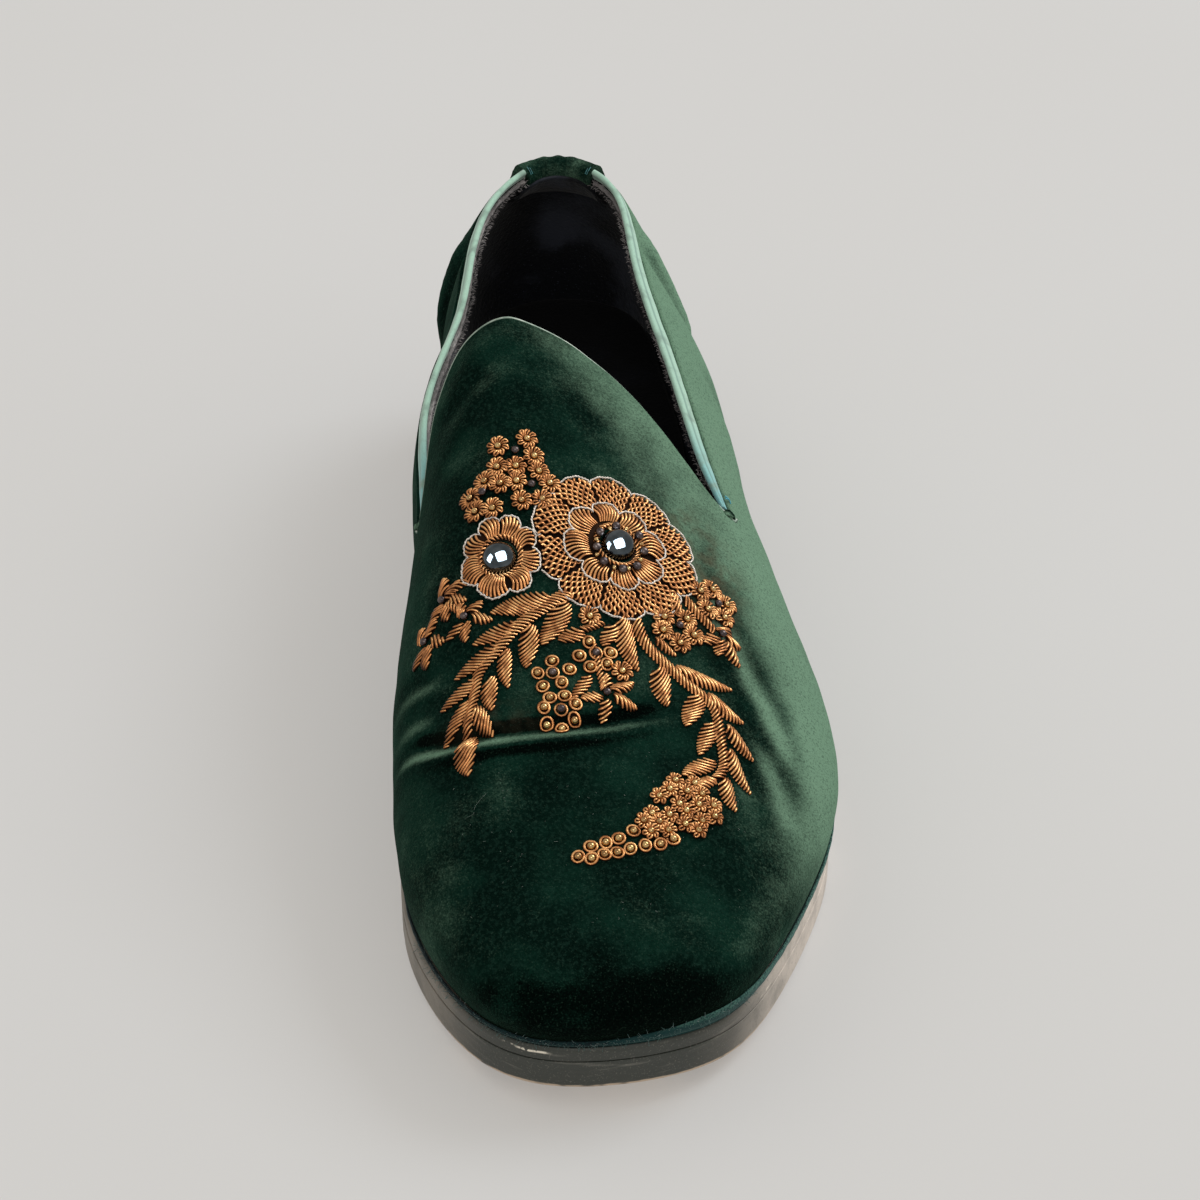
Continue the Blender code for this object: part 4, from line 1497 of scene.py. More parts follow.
@dataclass
class RawEdge:
    """Frayed grey edge of the lining, showing inside the binding."""

    stations: int = 150
    depth: float = 0.95
    low: float = -1.2
    high: float = 1.3
    fibre_length: float = 0.9
    spacing: float = 0.28

    def section(self, ring: float, side_seed: float) -> np.ndarray:
        """Points round the raw edge at a ring, its height wandering."""
        wander = noise.noise(Vector((ring * 9, side_seed, 0.3)))
        high = self.high + 0.7 * wander
        near, far = -LAST.wall_thickness + 0.15, -LAST.wall_thickness - self.depth
        middle = (near + far) / 2
        up = np.array([self.low, high - 0.4, high, high - 0.3, 0.3, self.low])
        out = np.array([near, near, middle, far + 0.2, far + 0.05 * wander, near - 0.35])
        return LAST.line(ring).at(up, out)

    def build(self, fray: NodeTree) -> None:
        """Builds the edge of both sides, with its loose fibres."""
        grey = Felt("raw_edge_grey", (0.24, 0.215, 0.215), (0.60, 0.55, 0.545), 0.4)
        finish = grey.material()
        fibres = Paths()
        for side in Side:
            rings = side.ring(np.linspace(HEEL_RING - 0.93, NOTCH_RING + 0.35, self.stations))
            sections = np.array([self.section(ring, 4.2 * side.value) for ring in rings])
            name = f"raw_edge_{side.label}"
            mesh = skinned(name, sections)
            roughen(mesh, (0.22, 0.9, 2.2), (0.15, 3.0, 4.4))
            finish_piece(link(name, mesh, finish))
            crest = LAST.to_row(sections[:, 2])
            inwards = unit(LAST.to_row(sections[:, 3]) - LAST.to_row(sections[:, 1]))
            for share in (0.0, 0.5, 1.0):
                lean = (0, 0, 1.0 - 0.4 * share) + inwards * (0.3 + 0.9 * share)
                shift = inwards * share * 0.5 * MM
                fibres.add(crest + shift - np.array([0, 0, 0.5 * share * MM]), lean=lean)
        fibres.grown("raw_edge_fibres", fray, finish, "lining", Spacing=self.spacing * MM,
                     Length=self.fibre_length * MM, Radius=0.05 * MM, Seed=7)


@dataclass
class TongueEdge:
    """Thin pale cord turned along the tongue's edge, thick where it ends at the notches."""

    radius: float = 0.34
    count: int = 90

    def edge(self, side: Side) -> np.ndarray:
        """The tongue's edge from the notch up to the ridge, as (ring, rise) rows."""
        steps, rises = LAST.tongue_edge(side, self.count)
        return np.column_stack([side.ring(NOTCH_RING + steps), rises])

    def build(self, cord: NodeTree, lie: "Drape") -> None:
        """Builds the cord."""
        pale = Bullion("tongue_edge_cord", (0.10, 0.17, 0.13), (0.36, 0.44, 0.37),
                       (0.66, 0.68, 0.62), roughness=0.55, metallic=0.25, turn=0.8)
        paths = Paths()
        inner, outer = self.edge(Side.INNER), self.edge(Side.OUTER)
        thick = np.r_[np.linspace(0.9, 1.25, self.count), np.linspace(1.25, 0.45, self.count)[1:]]
        thick[-8:] = np.linspace(0.9, 1.5, 8)
        route = np.vstack([inner, outer[::-1][1:]])
        points = lie.nearest(LAST.to_row(LAST.wall(route[:, 0], route[:, 1])), -0.25)
        paths.add(points, thick)
        paths.grown("tongue_edge_cord", cord, pale.material(), "velvet",
                    Radius=self.radius * MM, Sides=8)


@dataclass
class HeelTab:
    """Velvet tab gathered over the back of the collar, sewn down at both ends."""

    half_ring: float = 0.85
    outer_leg: float = 24.0
    inner_leg: float = 5.0
    thickness: float = 1.9
    gap: float = 0.55
    corner: float = 0.45
    crest: float = 1.5
    stations: int = 97
    around: int = 72
    gather: float = 0.15
    gather_count: float = 4.3

    def section(self, share: float) -> np.ndarray:
        """A closed hairpin section, smoothed through its turning points."""
        ring = HEEL_RING + share * self.half_ring
        corner = max(0.0, (abs(share) - 1 + self.corner) / self.corner)
        leg = self.outer_leg * (0.70 + 0.30 * math.sqrt(max(0.0, 1 - corner**2)))
        near, far = self.gap, self.gap + self.thickness
        inner_near = -LAST.wall_thickness - self.gap
        inner_far = inner_near - 0.8 * self.thickness
        crest = self.crest + self.thickness
        half = -LAST.wall_thickness / 2
        route = Spline((
            (-leg, near), (-leg - 0.3, (near + far) / 2), (-leg, far), (-0.66 * leg, far),
            (-0.33 * leg, far), (-0.5, far), (0.62 * crest, 0.62 * far), (crest, half),
            (0.62 * crest, 0.85 * inner_far), (-0.5, inner_far), (-self.inner_leg, inner_far),
            (-self.inner_leg, inner_near), (LAST.gap, inner_near), (self.gap, half),
            (LAST.gap, near), (-0.33 * leg, near), (-0.66 * leg, near),
        ), closed=True)
        points = route.at(np.arange(self.around) * 17 / self.around)
        wave = math.cos(share * math.pi * self.gather_count + 1.6 * math.sin(4 * share))
        over = hump(points[:, 0] - 1.0, 6.0) * (points[:, 1] > near - 0.1)
        over += hump(points[:, 0] - crest, 1.6)
        push = self.gather * wave * np.clip(over, 0, 1.2)
        return LAST.line(ring).at(points[:, 0] + 0.6 * push, points[:, 1] + 0.6 * push)

    def build(self, cord: NodeTree) -> None:
        """Builds the tab and its stitches."""
        shares = np.linspace(-1, 1, self.stations)
        mesh = skinned("heel_tab_velvet", [self.section(share) for share in shares])
        points = roughen(mesh, (0.16, 3.2, 6.1), (0.10, 1.4, 2.9))
        paint(mesh, "nap_and_light", 0.22 + 0.30 * roughly(points, 5, 9.1))
        made = link("heel_tab_velvet", mesh, Velvet(name="velvet_tab").material())
        finish_piece(made, ["heel_tab"])
        self.build_stitches(cord)

    def build_stitches(self, cord: NodeTree) -> None:
        """Builds the teal stitches across both ends."""
        teal = Thread("stitch_teal", (0.04, 0.22, 0.23), (0.012, 0.08, 0.09))
        paths = Paths()
        crest = self.crest + self.thickness
        for end in (-1, 1):
            for k in range(2):
                ring = HEEL_RING + end * self.half_ring * (0.90 - 0.05 * k)
                up = np.array([0.55 * crest, 0.95 * crest, crest + 0.15, 0.72 * crest])
                out = np.array([1.9, 0.7, -1.4, -3.6])
                hold = Spline(np.column_stack([up, out])).at(np.linspace(1.4 + 0.3 * k, 2.5, 8))
                paths.add(LAST.to_row(LAST.line(ring).at(hold[:, 0], hold[:, 1])))
        paths.grown("tab_stitches", cord, teal.material(), "velvet", Radius=0.13 * MM, Sides=6)


@dataclass
class LiningBand:
    """Felt turned up at the heel, over the inner leg of the tab."""

    reach: float = 1.04
    top: float = 1.7
    thickness: float = 0.7
    stations: int = 90

    def section(self, share: float) -> np.ndarray:
        """Points round the band: up its face to the tab, and down against the lining."""
        drop = 3.4 * abs(share) ** 5
        face = np.array([(-11, -2.1), (-8, -3.5), (-5.6, -4.85), (-2.5, -5.1), (0.4, -5.15),
                         (self.top - 0.3, -5.1), (self.top, -4.85)])
        face[-3:, 0] -= drop
        hidden = face[::-1] + (0, self.thickness)
        hidden[0, 0] -= 0.25
        points = np.vstack([face, hidden])
        return LAST.line(HEEL_RING + share * self.reach).at(points[:, 0], points[:, 1])

    def build(self, finish: Material) -> None:
        """Builds the band."""
        shares = np.linspace(-1, 1, self.stations)
        mesh = skinned("heel_lining_band", [self.section(share) for share in shares])
        roughen(mesh, (0.12, 4.0, 3.1), (0.10, 1.1, 5.9))
        finish_piece(link("heel_lining_band", mesh, finish))


@dataclass
class Rand:
    """Teal velvet strip round the foot of the upper: full at the outer toe, thin elsewhere."""

    low: float = 0.3
    high: float = 5.3
    thickness: float = 1.0
    clear: float = 0.4
    stations: int = 480
    around: int = 18
    fibre_length: float = 1.3

    def height(self, ring: float) -> float:
        """Height of the strip at a ring, as a share of its full one."""
        outer = ease(ring, 15.5, 18.0) * ease(ring, 23.9, 22.8)
        return float(0.42 + 0.58 * outer)

    def section(self, ring: float) -> np.ndarray:
        """Points round the strip at a ring: a soft pillow between wall and sole."""
        share = self.height(ring)
        foot, ridge = LAST.wall(ring, 0.0), LAST.wall(ring, 1.0)
        level = np.array([*(foot - ridge)[:2], 0])
        level /= np.linalg.norm(level)
        line = LAST.line(ring)
        up = np.linspace(self.low, self.low + (self.high - self.low) * share, self.around // 2)
        back = line.at(up, self.clear, from_edge=False)
        crown = np.sin(np.linspace(0.35, math.pi - 0.15, len(up))) ** 0.6
        front = back + level * (self.thickness * crown * (0.75 + 0.25 * share))[:, None]
        front[0] = back[0] + level * self.thickness
        front[0, 2] += LAST.underside(front[0, 1]) - LAST.underside(back[0, 1])
        return np.vstack([back, front[::-1]])

    def build(self, fray: NodeTree) -> None:
        """Builds the strip and the frayed threads at the toe."""
        rings = np.arange(self.stations) * RINGS / self.stations
        sections = [self.section(ring) for ring in rings]
        mesh = skinned("rand_velvet", sections, closed=True)
        _, foot, height = LAST.from_row(coordinates(mesh)).T
        rise = height - LAST.underside(foot) - LAST.outsole - LAST.midsole
        roughen(mesh, (0.14, 3.0, 5.5), (0.08, 1.0, 7.7), share=ease(rise, 0.6, 1.4))
        ring_of = np.repeat(rings, len(sections[0]))
        front = ease(foot, 262, 286)
        outer = ease(ring_of, 16, 19) * ease(ring_of, 24.2, 23.2)
        # Painted light on the outer side, where the key light falls, and a brighter band at the toe front;
        # a painted highlight along the top on the outer side.
        paint(mesh, "bright", np.clip(0.45 * outer + 0.30 * front, 0, 1))
        paint(mesh, "rim", ease(rise, 2.9, 4.2) * outer)
        finish = RandVelvet().material()
        finish_piece(link("rand_velvet", mesh, finish), ["rand"])
        self.build_fibres(fray)

    def build_fibres(self, fray: NodeTree) -> None:
        """Builds loose bright threads standing from the strip's top round the toe."""
        thread = Thread("fray_teal", (0.035, 0.12, 0.105), (0.008, 0.035, 0.035))
        paths = Paths()
        for first, last in ((0.0, 2.6), (22.4, 23.98)):
            rings = np.linspace(first, last, 120)
            crest = np.array([self.section(ring)[self.around // 2 + 1] for ring in rings])
            out = np.array([LAST.line(r).at(2.0, 1.0, False) - LAST.line(r).at(2.0, 0.0, False)
                            for r in rings])[:, 0] * [1, -1, 1]
            paths.add(LAST.to_row(crest), lean=out * 0.8 + (0, 0, 0.5))
        paths.grown("rand_fibres", fray, thread.material(), "rand_velvet", Spacing=0.30 * MM,
                    Length=self.fibre_length * MM, Radius=0.045 * MM, Seed=11)


# ---------------------------------------------------------------- the sole


@dataclass
class SoleLayer:
    """A layer of the sole: rounded at its edge, skinned across from side to side."""

    name: str
    outside: float
    top: float
    thickness: float
    round_top: float
    round_low: float
    slot: str
    stands_for: str
    stations: int = 360
    arc_steps: int = 5
    side_rows: int = 5

    def profile(self) -> list[tuple[float, float]]:
        """(inset, height from the top) down the edge, through both rounded corners."""
        turn = np.linspace(0, math.pi / 2, self.arc_steps)
        upper = [(self.round_top * (1 - math.sin(a)), -self.round_top * (1 - math.cos(a)))
                 for a in turn]
        lower = [(self.round_low * (1 - math.cos(a)),
                  -self.thickness + self.round_low * (1 - math.sin(a))) for a in turn]
        low, high = lower[0][1], upper[-1][1]
        side = [(0.0, high + (low - high) * k / (self.side_rows + 1))
                for k in range(1, self.side_rows + 1)]
        return [(self.round_top + 3.0, 0.0), *upper, *side, *lower, (self.round_low + 3.0, -self.thickness)]

    def build(self, finishes: Sequence[Material]) -> Object:
        """Builds the layer.

        Args:
            finishes: The edge's material, then the underside's where it has its own.

        Returns:
            The piece.
        """
        rings = np.arange(self.stations) * RINGS / self.stations
        sheet = Sheet()
        rows = []
        for inset, height in self.profile():
            plan = LAST.foot_edge(rings, self.outside - inset)
            level = LAST.underside(LAST.foot_edge(rings, self.outside)[:, 1]) + self.top + height
            rows += sheet.verts([LAST.to_row(np.column_stack([plan, level]))])
        sheet.join(rows, around=True)
        n = self.stations
        for row in (rows[0], rows[-1]):
            for k in range(n // 2):
                corners = (row[k], row[k + 1], row[(n - k - 1) % n], row[(n - k) % n])
                face = sheet.maker.faces.new(tuple(dict.fromkeys(corners)))
                face.material_index = len(finishes) - 1 if row is rows[-1] else 0
        mesh = sheet.done(self.name)
        _, back, height = LAST.from_row(coordinates(mesh)).T
        paint(mesh, "low", height - LAST.underside(back))
        roughen(mesh, (0.05, 4.0, 3.3), (0.03, 1.3, 6.3), axes=(1, 1, 0))
        made = link(self.name, mesh, finishes[0])
        for extra in finishes[1:]:
            mesh.materials.append(extra)
        return finish_piece(made, [self.stands_for])


@dataclass
class HeelSlab:
    """A slice of the low heel, following the sole behind a hollow breast."""

    name: str
    low: float
    high: float
    slot: str
    stands_for: str
    outside: float = 2.2
    breast: float = 0.226
    hollow: float = 3.0
    taper: float = 0.0008
    rounding: float = 0.6

    def outline(self) -> np.ndarray:
        """Plan points of the heel: the sole's edge behind the breast, and the breast."""
        edge = LAST.foot_edge(np.linspace(8, 16, 321), self.outside)
        behind = edge[edge[:, 1] < self.breast * LAST.foot_length][::2]
        share = np.linspace(0, 1, 33)[1:-1, None]
        breast = behind[-1] * (1 - share) + behind[0] * share
        breast[:, 1] -= self.hollow * np.sin(math.pi * share[:, 0])
        return np.vstack([behind, breast])

    def build(self, finish: Material) -> Object:
        """Builds the slab with soft edges."""
        outline = self.outline()
        middle = outline.mean(0)
        reach = np.linalg.norm(outline - middle, axis=1).mean()
        turn = np.linspace(0, math.pi / 2, 4)
        levels = [(self.low + self.rounding * (1 - math.cos(a)), self.rounding * (1 - math.sin(a)))
                  for a in turn]
        levels += [(self.low + (self.high - self.low) * k / 6, 0.0) for k in range(1, 6)]
        levels += [(self.high - self.rounding * (1 - math.sin(a)), self.rounding * (1 - math.cos(a)))
                   for a in turn]
        sections = []
        for z, inset in levels:
            share = 1 - self.taper * (LAST.heel_height - z) - inset / reach
            plan = middle + (outline - middle) * share
            sections.append(np.column_stack([plan, np.full(len(plan), z)]))
        mesh = skinned(self.name, sections)
        return finish_piece(link(self.name, mesh, finish), [self.stands_for])


@dataclass
class Sole:
    """Outsole, midsole, insole and the stacked heel."""

    insole: float = 3.0
    outsole_edge: float = 2.2
    midsole_edge: float = 2.05
    insole_inset: float = 4.2
    lift: float = 5.0

    def build(self) -> None:
        """Builds every layer from the insole down to the lift."""
        gap = LAST.gap
        seat = LAST.outsole + LAST.midsole
        edge, leather = SoleEdge().material(), SoleLeather().material()
        # The insole felt is near black, darker than the lining: painted shade inside the shoe.
        sock = Felt("insole_felt", (0.0006, 0.0007, 0.0011), (0.0030, 0.0034, 0.0050), 0.2, 0.04)
        inner_top = seat + LAST.wall_thickness + 2 * gap + self.insole
        SoleLayer("insole_sock", -self.insole_inset, inner_top, self.insole, 1.1, 0.5,
                  "lining", "insole", stations=240).build([sock.material()])
        SoleLayer("midsole_edge", self.midsole_edge, seat, LAST.midsole - gap, 1.15, 0.14,
                  "sole_edge", "midsole").build([edge])
        SoleLayer("outsole_body", self.outsole_edge, LAST.outsole, LAST.outsole, 0.20, 0.7,
                  "sole_edge", "outsole", side_rows=8).build([edge, leather])
        stack = SoleLeather("heel_stack", layered=True)
        HeelSlab("heel_block", self.lift + gap, LAST.heel_height - gap,
                 "sole_leather", "heel").build(stack.material())
        HeelSlab("heel_top_lift", 0.0, self.lift, "lift_rubber", "heel_lift").build(
            Rubber().material())


# ---------------------------------------------------------------- embroidery of the vamp


class Drape:
    """The velvet's surface, on which the embroidery lies."""

    def __init__(self, skin: Mesh) -> None:
        """Reads the skin once."""
        faces = [tuple(face.vertices) for face in skin.polygons]
        self.tree = BVHTree.FromPolygons([v.co for v in skin.vertices], faces)

    def down(self, places: np.ndarray, lift: Any) -> np.ndarray:
        """Points let down on the velvet from above.

        Args:
            places: Rows of (x, back) in mm.
            lift: Height of each point over the velvet in mm, or one for all.

        Returns:
            The points in the row frame.
        """
        places = np.asarray(places, float).reshape(-1, 2)
        lifts = np.broadcast_to(np.asarray(lift, float), (len(places),))
        starts = LAST.to_row(np.column_stack([places, np.full(len(places), 180.0)]))
        found = []
        for start, height in zip(starts, lifts):
            hit, normal, _, _ = self.tree.ray_cast(Vector(start), Vector((0, 0, -1)))
            if hit is None:
                hit, normal, _, _ = self.tree.find_nearest(Vector(start))
            found.append(hit + normal * float(height) * MM)
        return np.array(found)

    def nearest(self, points: np.ndarray, lift: float) -> np.ndarray:
        """Points of the velvet nearest to given ones, raised by a lift in mm."""
        found = []
        for point in points:
            hit, normal, _, _ = self.tree.find_nearest(Vector(point))
            found.append(hit + normal * lift * MM)
        return np.array(found)

    def lean(self, place: Place) -> np.ndarray:
        """The velvet's normal under a place."""
        foot, head = self.down(np.array([place, place]), np.array([0.0, 1.0]))
        return (head - foot) / MM


class Leaf(NamedTuple):
    """A leaf of slanted coils from its base to its tip, each (x, back), and its width in mm."""

    base: Place
    tip: Place
    width: float


class Spray(NamedTuple):
    """A stem of slanted coils, wide at its start, and the leaves along it."""

    stem: tuple[Place, ...]
    widths: tuple[float, float]
    leaves: tuple[Leaf, ...]


class Star(NamedTuple):
    """A dark bead with short leaves round it."""

    centre: Place
    tips: tuple[Place, ...]
    width: float = 2.7


class BeadFlower(NamedTuple):
    """A dark bead with ringed gold beads round it."""

    centre: Place
    beads: tuple[Place, ...]


class Cluster(NamedTuple):
    """Rosettes of looped coil, and the dark beads between them."""

    rosettes: tuple[Place, ...]
    dark: tuple[Place, ...]


class Flower(NamedTuple):
    """A ring of petals between an inner and an outer radius, its petals at angles in degrees."""

    centre: Place
    inner: float
    across: float
    along: float
    petals: tuple[float, ...]
    dent: float

    @property
    def mean(self) -> float:
        """Mean radius of its outline."""
        return 0.5 * (self.across + self.along)

    def radius(self, angle: float) -> float:
        """Radius of the scalloped outline at an angle in degrees."""
        start, span = self.petal(angle)
        place = (angle - start) % 360 / span
        turn = math.radians(angle)
        oval = 1 / math.hypot(math.cos(turn) / self.across, math.sin(turn) / self.along)
        return oval * (1 - self.dent * (1 - math.sin(math.pi * place) ** 0.40))

    def petal(self, angle: float) -> tuple[float, float]:
        """Where the petal at an angle starts, and its span, in degrees."""
        ordered = sorted(a % 360 for a in self.petals)
        for k, middle in enumerate(ordered):
            before = (middle - ordered[k - 1]) % 360 / 2
            after = (ordered[(k + 1) % len(ordered)] - middle) % 360 / 2
            if (angle - (middle - before)) % 360 < before + after:
                return middle - before, before + after
        return 0.0, 360.0

    def places(self, angles: np.ndarray, radii: Any) -> np.ndarray:
        """(x, back) of points at angles in degrees and radii from the centre."""
        turn = np.radians(angles)
        x = self.centre[0] + radii * np.cos(turn)
        return np.column_stack([x, self.centre[1] - radii * np.sin(turn)])

    def outside(self, places: np.ndarray) -> np.ndarray:
        """How far places lie outside its mean radius."""
        return np.linalg.norm(places - np.array(self.centre), axis=1) - self.mean


SMALL_FLOWER = Flower((-22, 183.5), 5.0, 9.5, 10.0,
                      (-100, -55, -10, 35, 70, 110, 145, 190), 0.26)
LARGE_FLOWER = Flower((5.5, 178.5), 6.4, 12.6, 11.0,
                      (100, 60, 15, -30, -80, -120, -170, 145), 0.26)
RUFFLE = Flower((5.5, 178.5), 11.6, 20.2, 18.5,
                (90, 55, 20, -10, -50, -85, -125, -160, 160, 125), 0.13)
LARGE_DOME = (6.5, 178)

CLUSTERS = (
    Cluster(((-21.5, 155.5), (-14.5, 153.5), (-13, 158), (-22, 161), (-17.5, 161), (-12, 162),
             (-25, 164), (-21.5, 165.5), (-17.5, 165), (-9.5, 165), (-28.5, 167), (-16.5, 170),
             (-11.5, 169.5), (-27.5, 171), (-23.5, 171.5)),
            ((-17.5, 157), (-14, 166), (-25.5, 167))),
    Cluster(((16.5, 194.5), (16, 198), (22, 193.5), (23.5, 197.5), (20, 200.5)), ((20, 196),)),
    Cluster(((26, 184.5), (29, 182), (27.5, 189), (32.5, 184.5), (31.5, 189)), ((30, 186),)),
    Cluster(((-1.5, 197.5), (5.5, 210.5)), ()),
)

LEFT_SPRAY = Spray(
    ((-6, 192), (-12.5, 196), (-19, 200.5), (-22.5, 204), (-25.5, 207), (-28.5, 210.5),
     (-29.5, 215), (-31, 220.5), (-31.5, 225)), (3.0, 2.0),
    (Leaf((-10.5, 193), (-25, 196.5), 5.0), Leaf((-7.5, 194), (-13, 205), 5.5),
     Leaf((-18.5, 199.5), (-29.5, 203), 4.0), Leaf((-16.5, 200), (-17, 210.5), 5.0),
     Leaf((-23.5, 204), (-34, 209.5), 4.0), Leaf((-22, 205.5), (-21.5, 215.5), 3.5),
     Leaf((-29, 211), (-37.5, 216), 3.5), Leaf((-26, 212), (-25.5, 220.5), 4.0),
     Leaf((-31.5, 216), (-37, 224.5), 3.5), Leaf((-30, 219), (-25.5, 226), 4.0),
     Leaf((-31.5, 225), (-31.5, 235.5), 5.5), Leaf((-3.5, 201), (-9, 204), 4.0),
     Leaf((-2.5, 212), (-6.5, 218.5), 3.0), Leaf((4, 198.5), (1.5, 204.5), 4.0)))
RIGHT_SPRAY = Spray(
    ((9.5, 196.5), (11, 201), (13.5, 204.5), (17.5, 208), (21.5, 211.5), (25.5, 214.5),
     (27.5, 218.5), (28, 226), (28, 232), (26, 236)), (3.0, 2.0),
    (Leaf((6, 196.5), (9.5, 210), 5.0), Leaf((14, 200.5), (19, 204), 2.5),
     Leaf((18.5, 207.5), (32, 210), 4.0), Leaf((14, 208), (16, 218), 5.5),
     Leaf((25.5, 213.5), (34, 218.5), 4.0), Leaf((23, 213.5), (20, 223), 5.0),
     Leaf((26, 220.5), (22.5, 230.5), 4.0), Leaf((29.5, 220.5), (35.5, 228.5), 3.5),
     Leaf((29.5, 227), (34, 238), 3.5), Leaf((27.5, 235.5), (30, 244), 4.0),
     Leaf((25.5, 231), (18, 237), 4.0), Leaf((25.5, 236), (22, 238.5), 2.5),
     Leaf((18.5, 187), (21, 193), 4.0)))
TWIGS = (
    Spray(((-3.5, 201), (-1, 200), (1.5, 198.5)), (1.5, 1.5), ()),
    Spray(((-30, 187), (-33, 187.5), (-36, 188.5)), (2.0, 1.5), ()),
    Spray(((-35, 190), (-33, 192.5), (-31, 195)), (1.5, 1.5), ()),
    Spray(((-37, 189.5), (-39, 192), (-40.5, 194.5)), (2.0, 1.5), ()),
    Spray(((22, 187.5), (25, 190.5), (29, 194.5)), (2.5, 2.0), ()),
    Spray(((-1, 204.5), (0, 210), (1, 215.5)), (1.5, 1.5), ()),
    Spray(((25, 236.5), (22, 239), (18.5, 241.5)), (2.5, 3.0), ()),
)
STARS = (
    Star((-36, 188.5), ((-32, 186), (-30.5, 191.5), (-36, 183), (-38.5, 190.5), (-35, 194))),
    Star((-31, 195.5), ((-27, 193), (-24.5, 198), (-31, 201.5), (-35.5, 199), (-32.5, 192))),
    Star((-40.5, 195), ((-43.5, 198.5), (-40.5, 201.5), (-42, 190.5), (-38.5, 191), (-36, 198.5))),
    Star((1.5, 216.5), ((1.5, 211.5), (8, 213), (8.5, 219.5), (0, 223.5), (-4.5, 218.5)), 3.0),
    Star((30.5, 195), ((26, 198.5), (29.5, 201), (34.5, 202.5), (35, 196), (32, 192)), 3.5),
)
BEAD_FLOWERS = (
    BeadFlower((-11, 212), ((-11, 209), (-7, 211), (-9, 214.5), (-13.5, 215.5), (-14.5, 212))),
    BeadFlower((-9.5, 221.5), ((-12, 218.5), (-8.5, 218), (-6, 220), (-6.5, 223.5), (-9.5, 225.5),
                               (-13, 224.5), (-13.5, 221))),
    BeadFlower((-0.5, 206.5), ((-2, 204), (-4.5, 207.5), (-2, 210), (2, 209), (3, 206))),
)
LARGE_RING_DARK = ((2, 176), (6, 173.5), (1, 180), (2.5, 183.5), (7, 184.5), (10.5, 183),
                   (12.5, 178.5), (11.5, 174.5))
LARGE_RING_GOLD = ((4.5, 174.5), (1, 178), (1, 182), (5, 184.5), (8.5, 184), (11.5, 181),
                   (12, 176.5), (8.5, 173.5))
COMMA_RINGS = ((-7.5, 259), (-4.5, 256.5), (-4.5, 259.5), (-1, 255.5), (-1.5, 258.5), (2, 254.5),
               (1.5, 258), (5.5, 252.5), (4.5, 257), (8, 256), (11.5, 255.5), (14.5, 254))
COMMA_CURLS = ((12, 243.5), (14.5, 241.5), (16, 239), (20.5, 239), (18.5, 241.5), (22, 241.5),
               (16.5, 245), (21, 244.5), (24.5, 244), (10, 248), (14, 248), (18, 246.5),
               (11.5, 250), (17.5, 250), (13.5, 252), (21.5, 248.5), (24.5, 247), (8, 250),
               (20.5, 251), (9.5, 252.5))


